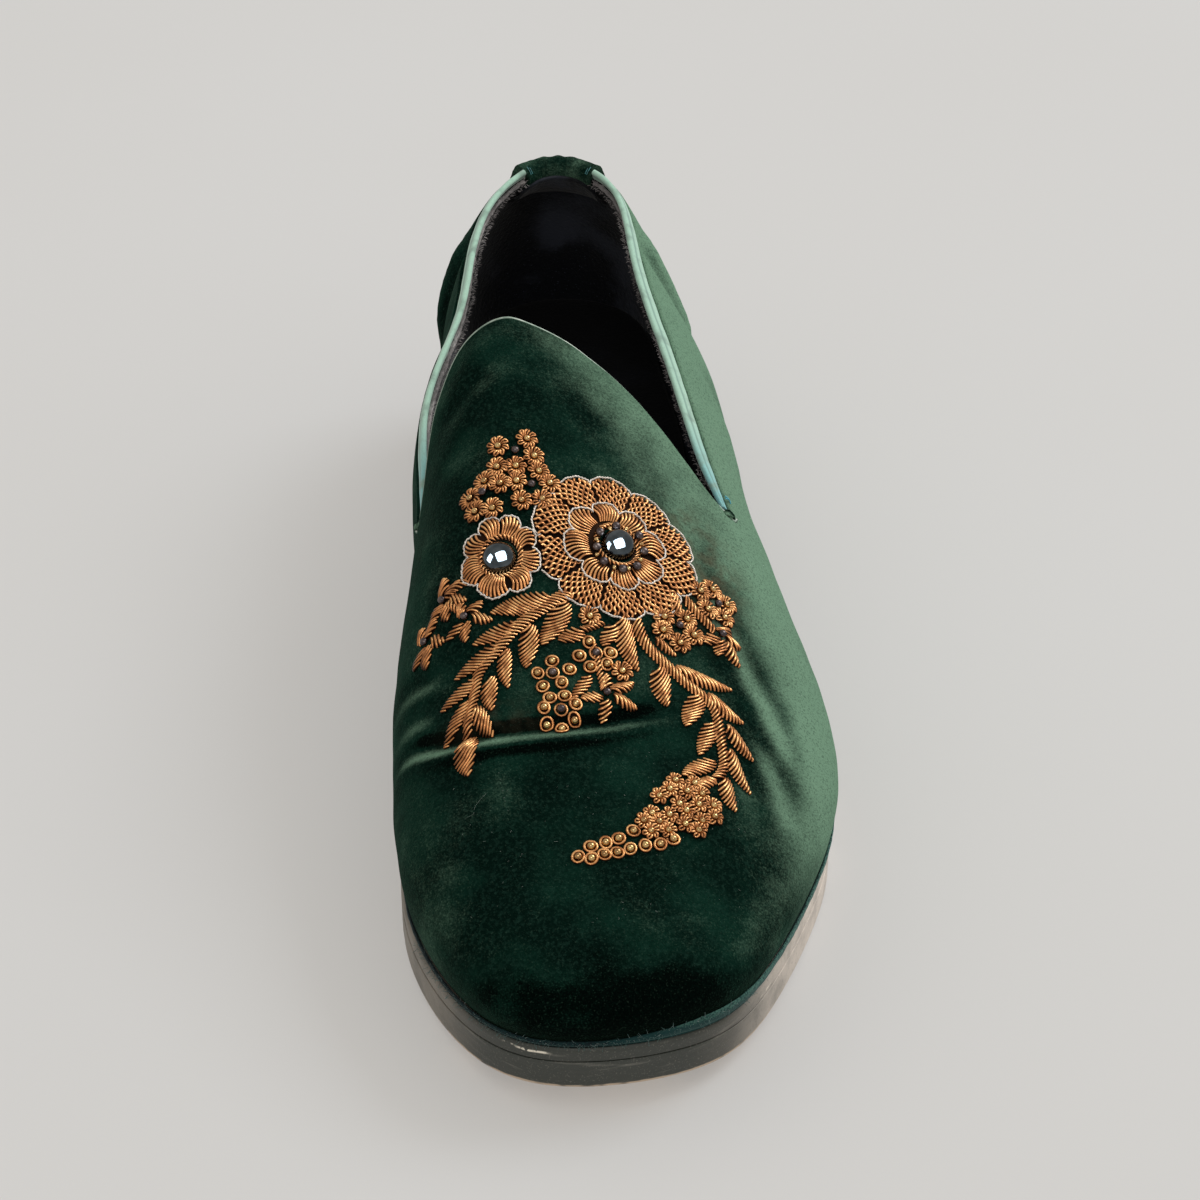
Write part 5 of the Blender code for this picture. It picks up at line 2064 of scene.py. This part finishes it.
@dataclass
class Embroidery:
    """Raised metal-thread work of the vamp: coils, silver cord and beads, laid on the velvet."""

    lie: Drape
    leaf_pitch: float = 1.02
    stem_pitch: float = 1.02
    petal_pitch: float = 1.15
    strands: int = 106
    coil: float = 0.36
    sides: int = 7
    slant: float = 1.0
    bed_half: float = 0.42
    bed_lift: float = 0.13
    rim_inset: float = 0.35
    dark_bead: float = 1.05
    seed: int = 5
    coils: Paths = field(default_factory=Paths)
    flower_coils: Paths = field(default_factory=Paths)
    pads: Sheet = field(default_factory=Sheet)
    silver: Paths = field(default_factory=Paths)
    gold: Paths = field(default_factory=Paths)
    dark: Paths = field(default_factory=Paths)

    def __post_init__(self) -> None:
        """Starts the seeded draws that keep the handwork uneven, with the coils at the sprays."""
        self.draws = np.random.default_rng(self.seed)
        self.work = self.coils

    def lay(self, places: np.ndarray, lift: Any, thick: Any = 1.0, closed: bool = False) -> None:
        """Lays one coil along (x, back) places at a lift over the velvet."""
        self.work.add(self.lie.down(places, lift), thick * self.draws.uniform(0.93, 1.06), closed)

    def bead(self, kind: Paths, place: Place, radius: float, lift: float, flat: float = 0.85) -> None:
        """Sets one bead at a place.

        Args:
            kind: The beads it joins: gold or dark.
            place: Its (x, back).
            radius: Its radius in mm.
            lift: Height of its middle over the velvet in mm.
            flat: Its height as a share of its width.
        """
        size = np.array([radius, radius, radius * flat]) * MM
        kind.add(self.lie.down(np.array([place]), lift), lean=self.lie.lean(place), size=size,
                 joined=False)

    @staticmethod
    def leaf_outline(share: Any) -> np.ndarray:
        """Half width of a leaf along it, as a share: blunt at the base and pointed at the tip."""
        share = np.clip(share, 0.0, 1.0)
        return np.sin(math.pi * share**0.72) ** 0.72

    def leaf(self, leaf: Leaf) -> None:
        """Fills a leaf with close slanted coils, raised in its middle."""
        base, tip = np.array(leaf.base), np.array(leaf.tip)
        length = float(np.linalg.norm(tip - base))
        along = (tip - base) / length
        side = np.array([-along[1], along[0]])
        bow = 0.06 * length * self.draws.uniform(0.4, 1.0) * np.sign(side[1] + 0.01)
        across = np.linspace(-1, 1, 8)
        count = max(4, round(length / self.leaf_pitch))
        for k in range(count):
            share = (k + 0.6) / (count + 0.2)
            half = 0.5 * leaf.width * float(self.leaf_outline(share))
            reach = share * length + self.slant * half * (across + 0.35 * (1 - across**2))
            reach = np.clip(reach, 0, length)
            wide = 0.5 * leaf.width * self.leaf_outline(0.5 * (share + reach / length))
            middle = base + np.outer(reach, along)
            middle += np.outer(bow * np.sin(math.pi * reach / length), side)
            places = middle + np.outer(wide * across, side)
            lift = 0.22 + 0.62 * (1 - across**2) * min(1.0, half / 1.6)
            self.lay(places, lift, 0.80 + 0.26 * (1 - across**4))
        bed = []
        for share in np.linspace(0.06, 0.94, 7):
            half = self.bed_half * leaf.width * float(self.leaf_outline(share))
            middle = base + share * length * along + bow * math.sin(math.pi * share) * side
            bed.append(middle + np.outer(half * np.array([-1.0, 0.0, 1.0]), side))
        self.pad(bed, self.bed_lift)

    @staticmethod
    def read(route: np.ndarray, run: np.ndarray, at: np.ndarray) -> np.ndarray:
        """Points of a finely drawn route at lengths along it."""
        return np.column_stack([np.interp(at, run, route[:, k]) for k in range(2)])

    def stem(self, route: Sequence[Place], widths: tuple[float, float], closed: bool = False,
             lift: float = 0.55) -> None:
        """Wraps a stem with slanted coils.

        Args:
            route: The stem's (x, back) points.
            widths: Its width at start and end, in mm.
            closed: Whether it runs round to its start.
            lift: Height of its middle over the velvet in mm.
        """
        knots = len(route) if closed else len(route) - 1
        fine = Spline(route, closed).at(np.linspace(0, knots, 20 * knots + 1))
        run = np.r_[0, np.cumsum(np.linalg.norm(np.diff(fine, axis=0), axis=1))]
        count = max(3, round(run[-1] / self.stem_pitch))
        across = np.linspace(-1, 1, 6)
        for k in range(count):
            at = (k + 0.5) / count * run[-1]
            half = 0.5 * (widths[0] + (widths[1] - widths[0]) * at / run[-1])
            reach = at + self.slant * half * across
            reach = reach % run[-1] if closed else np.clip(reach, 0, run[-1])
            middle = self.read(fine, run, reach)
            facing = self.read(fine, run, reach + 0.3) - self.read(fine, run, reach - 0.3)
            facing /= np.maximum(np.linalg.norm(facing, axis=1, keepdims=True), 1e-6)
            side = np.column_stack([-facing[:, 1], facing[:, 0]])
            places = middle + side * (half * across)[:, None]
            self.lay(places, 0.22 + lift * (1 - across**2), 0.95)
        if not closed:
            self.bed(fine, widths)

    def bed(self, route: np.ndarray, widths: tuple[float, float]) -> None:
        """Pads a stem along its finely drawn (x, back) route, between its widths."""
        along = unit(np.gradient(route, axis=0))
        side = np.column_stack([-along[:, 1], along[:, 0]])
        half = self.bed_half * np.linspace(*widths, len(route))[:, None]
        rows = np.stack([route - half * side, route, route + half * side], 1)
        self.pad(list(rows[::5]), self.bed_lift)

    def rosette(self, place: Place, radius: float = 2.5, loops: int = 8, bead: float = 0.85) -> None:
        """Rings a gold bead with loops of coil that swirl out and back."""
        start = self.draws.uniform(0, math.tau)
        reach = radius * np.array([0.44, 0.64, 0.84, 0.98, 1.02, 0.98, 0.84, 0.64, 0.44])
        swing = np.array([-0.42, -0.50, -0.54, -0.34, 0, 0.34, 0.54, 0.50, 0.42])
        lift = np.array([0.50, 0.95, 1.00, 0.70, 0.50, 0.70, 1.00, 0.95, 0.50])
        for k in range(loops):
            turn = start + math.tau * (k + self.draws.uniform(-0.1, 0.1)) / loops
            turn = turn + math.pi / loops * swing + 0.45 * (reach / radius - 0.44)
            self.lay(circle(place, reach, turn), lift, 0.92)
        self.disc(place, radius * 0.92)
        self.bead(self.gold, place, bead, 1.05)

    def disc(self, place: Place, radius: float, lift: float = 0.16) -> None:
        """Lays a round pad of near-black felt under a rosette or a ringed bead, painted shade between its
        loops.
        """
        angle = np.append(turns(10), math.tau)
        self.pad([circle(place, share * radius, angle) for share in (0.05, 1.0)], lift)

    def pad(self, rings: list[np.ndarray], lift: float) -> None:
        """Adds a grid of (x, back) rings, laid on the velvet at a lift, to the padding."""
        self.pads.join(self.pads.verts(self.lie.down(ring, lift) for ring in rings))

    def flower_pad(self, flower: Flower, inner: float, lift: float,
                   beside: Flower | None = None) -> None:
        """Lays the pad under a flower, from an inner radius to just inside its outline."""
        angles = np.linspace(0, 360, 73)
        rings = []
        for share in (0.0, 0.4, 0.8, 1.0):
            reach = np.array([flower.radius(a) for a in angles]) - self.rim_inset - inner
            rings.append(flower.places(angles, inner + reach * share))
        if beside:
            limit = beside.mean - 0.8
            for ring in rings:
                off = ring - np.array(beside.centre)
                away = np.linalg.norm(off, axis=1)
                close = away < limit
                ring[close] += off[close] * ((limit - away[close]) / away[close])[:, None]
        self.pad(rings, lift)

    def ringed_bead(self, place: Place, radius: float = 0.95) -> None:
        """Sets a gold bead in a slightly uneven ring of coil."""
        angle = turns(14)
        oval = radius + 0.44 + 0.10 * np.sin(2 * angle + self.draws.uniform(0, 6))
        self.lay(circle(place, oval, angle), 0.36, 1.0, closed=True)
        self.disc(place, radius + 0.3)
        self.bead(self.gold, place, radius, 0.75, 0.9)

    def spray(self, spray: Spray) -> None:
        """Builds a stem and its leaves."""
        self.stem(spray.stem, spray.widths)
        for leaf in spray.leaves:
            self.leaf(leaf)

    def star(self, star: Star) -> None:
        """Builds a star of short leaves and its dark bead."""
        middle = np.array(star.centre)
        for tip in star.tips:
            base = middle + 0.22 * (np.array(tip) - middle)
            self.leaf(Leaf(tuple(base), tip, star.width))
        self.bead(self.dark, star.centre, self.dark_bead, 1.15)

    def cluster(self, cluster: Cluster) -> None:
        """Builds a cluster of rosettes and dark beads."""
        for place in cluster.rosettes:
            self.rosette(place)
        for place in cluster.dark:
            self.bead(self.dark, place, self.dark_bead, 1.25)

    def bead_flower(self, flower: BeadFlower) -> None:
        """Builds ringed beads round a dark one."""
        for place in flower.beads:
            self.ringed_bead(place)
        self.bead(self.dark, flower.centre, self.dark_bead, 0.9)
        self.lay(circle(flower.centre, 1.45, turns(12)), 0.35, 0.9, closed=True)

    def petals(self, flower: Flower) -> None:
        """Fills each petal with coils that fan from its root."""
        for middle in flower.petals:
            start, span = flower.petal(middle)
            count = max(5, round(math.radians(span) * flower.mean / self.petal_pitch))
            for k in range(count):
                share = (k + 0.5) / count
                outer = start + span * (0.03 + 0.94 * share)
                root = start + span * (0.06 + 0.88 * share)
                out = np.linspace(0, 1, 9)
                reach = flower.radius(outer) - self.rim_inset - flower.inner
                radius = flower.inner + reach * out
                bend = 5.0 * np.sin(math.pi * out) * (1 if middle % 2 else -0.6)
                angles = root + (outer - root) * out + bend
                lift = 0.30 + 0.75 * np.sin(math.pi * (0.10 + 0.80 * out)) * math.sin(
                    math.pi * (0.12 + 0.76 * share)) ** 0.7
                self.lay(flower.places(angles, radius), lift, 0.82 + 0.34 * out)

    def ruffle(self, flower: Flower, inside: Flower, beside: Flower) -> None:
        """Fills the ruffle with zigzag coils in turn, which read as a knitted net.

        Args:
            flower: The ruffle.
            inside: The flower that it surrounds.
            beside: The flower that covers it where they meet.
        """
        for middle in flower.petals:
            start, span = flower.petal(middle)
            count = max(4, round(self.strands * span / 360))
            for k in range(count):
                share = (k + 0.5) / count
                ends = start + span * (0.08 + 0.84 * share), start + span * share
                self.strand(flower, inside, beside, ends, math.pi * (k % 2))

    def strand(self, flower: Flower, inside: Flower, beside: Flower, ends: tuple[float, float],
               phase: float) -> None:
        """Lays one zigzag coil of the ruffle.

        Args:
            flower: The ruffle.
            inside: The flower that it surrounds.
            beside: The flower that covers it where they meet.
            ends: Its angles at the root and at the rim, in degrees.
            phase: Where its zigzag starts, in radians.
        """
        radius = np.arange(inside.radius(ends[0]) - 0.3, flower.radius(ends[1]) - 0.3, 0.36)
        if len(radius) >= 4:
            wave = radius * math.tau / 2.0 + phase + self.draws.uniform(-0.3, 0.3)
            swing = np.degrees(0.27 * np.sin(wave) / radius)
            angles = np.linspace(*ends, len(radius)) + swing
            places = flower.places(angles, radius)
            keep = beside.outside(places) > 0.1
            hump = np.sin(math.pi * np.linspace(0.06, 0.92, len(radius)))
            lift = 0.36 + 0.42 * hump + 0.20 * np.cos(wave)
            if keep.sum() >= 4:
                self.lay(places[keep], lift[keep], np.clip(radius[keep] / 14.5, 0.85, 1.18))

    def outline(self, flower: Flower, lift: float, beside: Flower | None = None) -> None:
        """Lays twisted silver cord round a flower's scallops."""
        count = int(math.tau * flower.across / 0.22)
        twists = math.tau * flower.across / 1.5
        for strand in (0.0, math.pi):
            angle = np.arange(count) * 360 / count
            twist = strand + np.arange(count) * math.tau * round(twists) / count
            wander = 0.14 * np.sin(np.radians(angle) * 13) + 0.10 * np.sin(np.radians(angle) * 41)
            radius = np.array([flower.radius(a) for a in angle])
            radius = radius + 0.05 + wander + 0.13 * np.cos(twist)
            places = flower.places(angle, radius)
            points = self.lie.down(places, lift + 0.13 * np.sin(twist))
            if beside:
                keep = beside.outside(places) > 0.3
                order = np.roll(np.arange(count), -int(np.argmax(~keep)))
                points = points[order[keep[order]]]
            self.silver.add(points, closed=not beside)

    def flowers(self) -> None:
        """Builds both flowers, their silver outlines, and the work round the domes."""
        self.work = self.flower_coils
        self.flower_pad(RUFFLE, 4.6, 0.14, SMALL_FLOWER)
        self.flower_pad(SMALL_FLOWER, 3.9, 0.14)
        self.ruffle(RUFFLE, LARGE_FLOWER, SMALL_FLOWER)
        self.petals(LARGE_FLOWER)
        self.petals(SMALL_FLOWER)
        self.outline(RUFFLE, 0.62, SMALL_FLOWER)
        self.outline(LARGE_FLOWER, 0.95)
        self.outline(SMALL_FLOWER, 0.75)
        for centre, radius in ((SMALL_FLOWER.centre, 4.85), (LARGE_DOME, 5.15)):
            self.stem(circle(centre, radius, turns(10)), (1.15, 1.15), closed=True)
        for place in LARGE_RING_DARK:
            self.bead(self.dark, place, 1.2, 1.3)
        for place in LARGE_RING_GOLD:
            self.bead(self.gold, place, 0.62, 1.15)
        self.work = self.coils

    def build(self, cord: NodeTree, beads: NodeTree) -> None:
        """Lays all the work and builds its pieces."""
        self.flowers()
        sprays = (LEFT_SPRAY, RIGHT_SPRAY, *TWIGS)
        for work, places in ((self.cluster, CLUSTERS), (self.spray, sprays), (self.star, STARS),
                             (self.bead_flower, BEAD_FLOWERS), (self.ringed_bead, COMMA_RINGS)):
            for place in places:
                work(place)
        for place in COMMA_CURLS:
            self.rosette(place, 1.95, 6, 0.82)
        self.grow(cord, beads)

    def grow(self, cord: NodeTree, beads: NodeTree) -> None:
        """Turns the laid paths into pieces with their finishes."""
        bronze = Bullion("bullion_bronze", (0.055, 0.018, 0.007), (0.66, 0.27, 0.095),
                         (1.0, 0.62, 0.27))
        wire = bronze.material()
        silver = Bullion("cord_silver", (0.34, 0.28, 0.24), (0.82, 0.74, 0.66),
                         (0.97, 0.93, 0.88), roughness=0.42, metallic=0.35, turn=0.5)
        gold = BeadMetal("bead_gold", (0.66, 0.45, 0.20), (0.34, 0.19, 0.08), 0.14)
        dark = BeadMetal("bead_dark", (0.070, 0.056, 0.058), (0.15, 0.118, 0.11), 0.32)
        # The padding's near-black felt is painted shade between the coils, loops and beads.
        felt = Felt("embroidery_pad", (0.010, 0.0045, 0.0028), (0.040, 0.018, 0.009), 0.2, 0.0)
        pad = link("embroidery_padding", self.pads.done("embroidery_padding", open_sheet=True),
                   felt.material())
        finish_piece(pad)
        for name, coils in (("sprays", self.coils), ("flowers", self.flower_coils)):
            coils.grown(f"embroidery_{name}", cord, wire, "velvet", Radius=self.coil * MM,
                        Sides=self.sides)
        self.silver.grown("embroidery_silver_cord", cord, silver.material(), "velvet",
                          Radius=0.17 * MM, Sides=5)
        for name, kind, metal in (("gold", self.gold, gold), ("dark", self.dark, dark)):
            kind.grown(f"embroidery_{name}_beads", beads, metal.material(), "velvet", Facets=2)


@dataclass
class Cabochon:
    """A polished gunmetal dome, seated on the vamp where the frame has its own."""

    name: str
    stands_for: str
    ring: float
    rise: float
    half_width: float
    height: float
    facets: int = 56

    def build(self, finish: Material) -> None:
        """Builds the dome with its rolled foot."""
        around = LAST.wall(np.array([[self.ring - 0.05], [self.ring + 0.05]]),
                           np.array([self.rise - 0.01, self.rise + 0.01]))
        spans = LAST.to_row(around)
        normal = np.cross(spans[1, 0] - spans[0, 0], spans[0, 1] - spans[0, 0])
        normal = Vector(normal if normal[2] > 0 else -normal).normalized()
        sheet = Sheet()
        maker = sheet.maker
        bmesh.ops.create_uvsphere(maker, u_segments=self.facets, v_segments=self.facets // 2,
                                  radius=1)
        bmesh.ops.bisect_plane(maker, geom=[*maker.verts, *maker.edges, *maker.faces],
                               plane_co=(0, 0, 0), plane_no=(0, 0, 1), clear_inner=True)
        bmesh.ops.holes_fill(maker, edges=[e for e in maker.edges if e.is_boundary])
        for vert in maker.verts:
            low = 1 - vert.co.z
            vert.co.xy *= 1 + 0.035 * low**6
        size = Vector((self.half_width, self.half_width, self.height)) * MM
        bmesh.ops.scale(maker, verts=maker.verts, vec=size * 0.97)
        seat = Matrix.Translation(Vector(spans.mean((0, 1))) + normal * LAST.gap * MM)
        turn = normal.to_track_quat("Z", "Y").to_matrix().to_4x4()
        bmesh.ops.transform(maker, verts=maker.verts, matrix=seat @ turn)
        mesh = sheet.done(self.name)
        finish_piece(link(self.name, mesh, finish), [self.stands_for])


@dataclass
class Strays:
    """Lint on the pile, one loose hair and a stray sewing thread by the notch."""

    lie: Drape
    flecks: int = 90
    seed: int = 23

    def build(self, cord: NodeTree) -> None:
        """Builds the lint, the hair and the thread."""
        draws = np.random.default_rng(self.seed)
        lint = Paths()
        for _ in range(self.flecks):
            middle = np.array([draws.uniform(-38, 32), draws.uniform(226, 276)])
            turn = draws.uniform(0, math.tau)
            reach = draws.uniform(0.06, 0.26)
            step = np.linspace(-1, 1, 4)[:, None] * reach
            places = middle + step * [math.cos(turn), math.sin(turn)]
            places[:, 0] += 0.1 * draws.standard_normal(4)
            lint.add(self.lie.down(places, 0.12), draws.uniform(0.6, 1.3))
        sway = np.linspace(0, 1, 26)
        hair = np.column_stack([-33 + 5 * sway + 0.8 * np.sin(7 * sway), 246 - 5 * sway**2])
        lint.add(self.lie.down(hair, 0.25 + 0.3 * np.sin(9 * sway)), 0.7)
        pale = Thread("lint_pale", (0.16, 0.21, 0.18), (0.06, 0.09, 0.07))
        lint.grown("lint", cord, pale.material(), "velvet", Radius=0.038 * MM, Sides=4)

        tick = Paths()
        for swing, height in ((0.5, 0.2), (-0.6, 0.35)):
            out = 0.3 + height * np.sin(np.linspace(0, math.pi, 7))
            route = LAST.line(RINGS - NOTCH_RING - 0.22).at(np.linspace(-1.4, 0.8, 7), out)
            route[:, 1] += swing * np.linspace(-1, 1, 7) + 1.2
            tick.add(LAST.to_row(route))
        blue = Thread("stray_thread_blue", (0.05, 0.42, 0.52), (0.02, 0.20, 0.28))
        tick.grown("stray_thread", cord, blue.material(), "piping", Radius=0.16 * MM, Sides=5)


# ---------------------------------------------------------------- the studio


class Lit(Enum):
    """What a light falls on."""

    SHOE = "lit_shoe"
    FLOOR = "lit_floor"
    DOMES = "lit_domes"

    def holds(self, made: Object) -> bool:
        """Whether a piece is among what the light falls on."""
        if self is Lit.FLOOR:
            return made.name == "floor"
        if self is Lit.DOMES:
            return "_dome" in made.name
        return made.name != "floor" and "_dome" not in made.name


def stand(name: str, data: Any, place: tuple, aim: tuple) -> Object:
    """Stands a light or the camera at a place, turned to what it is aimed at."""
    made = bpy.data.objects.new(name, data)
    made.location = place
    toward = Vector(aim) - Vector(place)
    made.rotation_euler = toward.to_track_quat("-Z", "Y").to_euler()
    bpy.context.scene.collection.objects.link(made)
    return made


@dataclass(frozen=True)
class Softbox:
    """A square soft light, aimed at the shoe and kept to what it is meant to fall on."""

    name: str
    place: tuple[float, float, float]
    size: tuple[float, float]
    power: float
    lit: Lit
    color: Color = (1.0, 1.0, 1.0)
    aim: tuple[float, float, float] = (0.0, 0.0, 0.04)
    shades: bool = True

    def build(self) -> None:
        """Adds the light to the scene."""
        lamp = bpy.data.lights.new(self.name, "AREA")
        lamp.shape = "RECTANGLE"
        lamp.size, lamp.size_y = self.size
        lamp.energy = self.power
        lamp.color = self.color
        made = stand(self.name, lamp, self.place, self.aim)
        receivers = bpy.data.collections.get(self.lit.value)
        if not receivers:
            receivers = bpy.data.collections.new(self.lit.value)
            for piece in bpy.context.scene.objects:
                if piece.type == "MESH" and self.lit.holds(piece):
                    receivers.objects.link(piece)
        made.light_linking.receiver_collection = receivers
        if not self.shades:
            made.light_linking.blocker_collection = receivers


@dataclass
class Studio:
    """Pale floor, soft light and the camera."""

    camera_place: tuple[float, float, float] = (-0.0359, -0.6256, 0.5087)
    camera_aim: tuple[float, float, float] = (0.0, -0.012, 0.042)
    lens: float = 90.8
    floor_half: float = 2.5
    world: Color = (0.590, 0.566, 0.530)
    lights: tuple[Softbox, ...] = (
        Softbox("key_right", (0.95, 0.55, 1.05), (0.8, 0.8), 13.0, Lit.SHOE, (0.97, 1.0, 1.0)),
        Softbox("front_fill", (-0.10, -1.0, 1.5), (0.9, 0.6), 5.0, Lit.SHOE, (0.97, 1.0, 1.0)),
        Softbox("floor_wash", (1.9, 0.9, 2.2), (1.3, 1.3), 17.0, Lit.FLOOR, (0.84, 0.92, 1.0)),
        Softbox("floor_base", (0.0, 0.0, 2.6), (1.0, 1.0), 26.0, Lit.FLOOR, (1.0, 0.985, 0.965),
                shades=False),
        Softbox("dome_window", (0.24, -0.62, 0.95), (1.45, 1.35), 190.0, Lit.DOMES,
                (0.88, 0.95, 1.0)),
        Softbox("dome_window_left", (-0.95, -0.30, 0.25), (0.56, 1.15), 48.0, Lit.DOMES,
                (0.88, 0.95, 1.0)),
    )

    def build(self) -> None:
        """Builds the floor, the lights, the world and the camera."""
        reach = self.floor_half
        mesh = bpy.data.meshes.new("floor")
        mesh.from_pydata([(-reach, -reach, 0), (reach, -reach, 0), (reach, reach, 0),
                          (-reach, reach, 0)], [], [(0, 1, 2, 3)])
        floor = link("floor", mesh, StudioPaper().material())
        for light in self.lights:
            light.build()
        scene = bpy.context.scene
        scene.view_settings.view_transform = "Standard"
        scene.world = bpy.data.worlds.new("studio_air")
        scene.world.use_nodes = True
        air = scene.world.node_tree.nodes["Background"].inputs
        air["Color"].default_value = (*self.world, 1)
        air["Strength"].default_value = 1.0
        lens = bpy.data.cameras.new("camera")
        lens.lens = self.lens
        lens.sensor_width = 36.0
        lens.clip_start = 0.05
        scene.camera = stand("camera", lens, self.camera_place, self.camera_aim)


def main() -> None:
    """Builds the shoe's pieces in order, then the studio."""
    logging.basicConfig(level=logging.INFO, format="%(name)s %(message)s")
    cord, beads, fray = cord_tree(), bead_tree(), fray_tree()
    skin = VelvetUpper().build()
    lie = Drape(skin)
    CollarBinding().build()
    RawEdge().build(fray)
    TongueEdge().build(cord, lie)
    HeelTab().build(cord)
    Rand().build(fray)
    Sole().build()
    Embroidery(lie).build(cord, beads)
    gunmetal = Gunmetal().material()
    Cabochon("cabochon_large_dome", "cabochon_large", ring=18.9, rise=0.78, half_width=4.3,
             height=4.0).build(gunmetal)
    Cabochon("cabochon_small_dome", "cabochon_small", ring=4.9, rise=0.97, half_width=4.2,
             height=3.9).build(gunmetal)
    Strays(lie).build(cord)
    Studio().build()


if __name__ == "__main__":
    main()
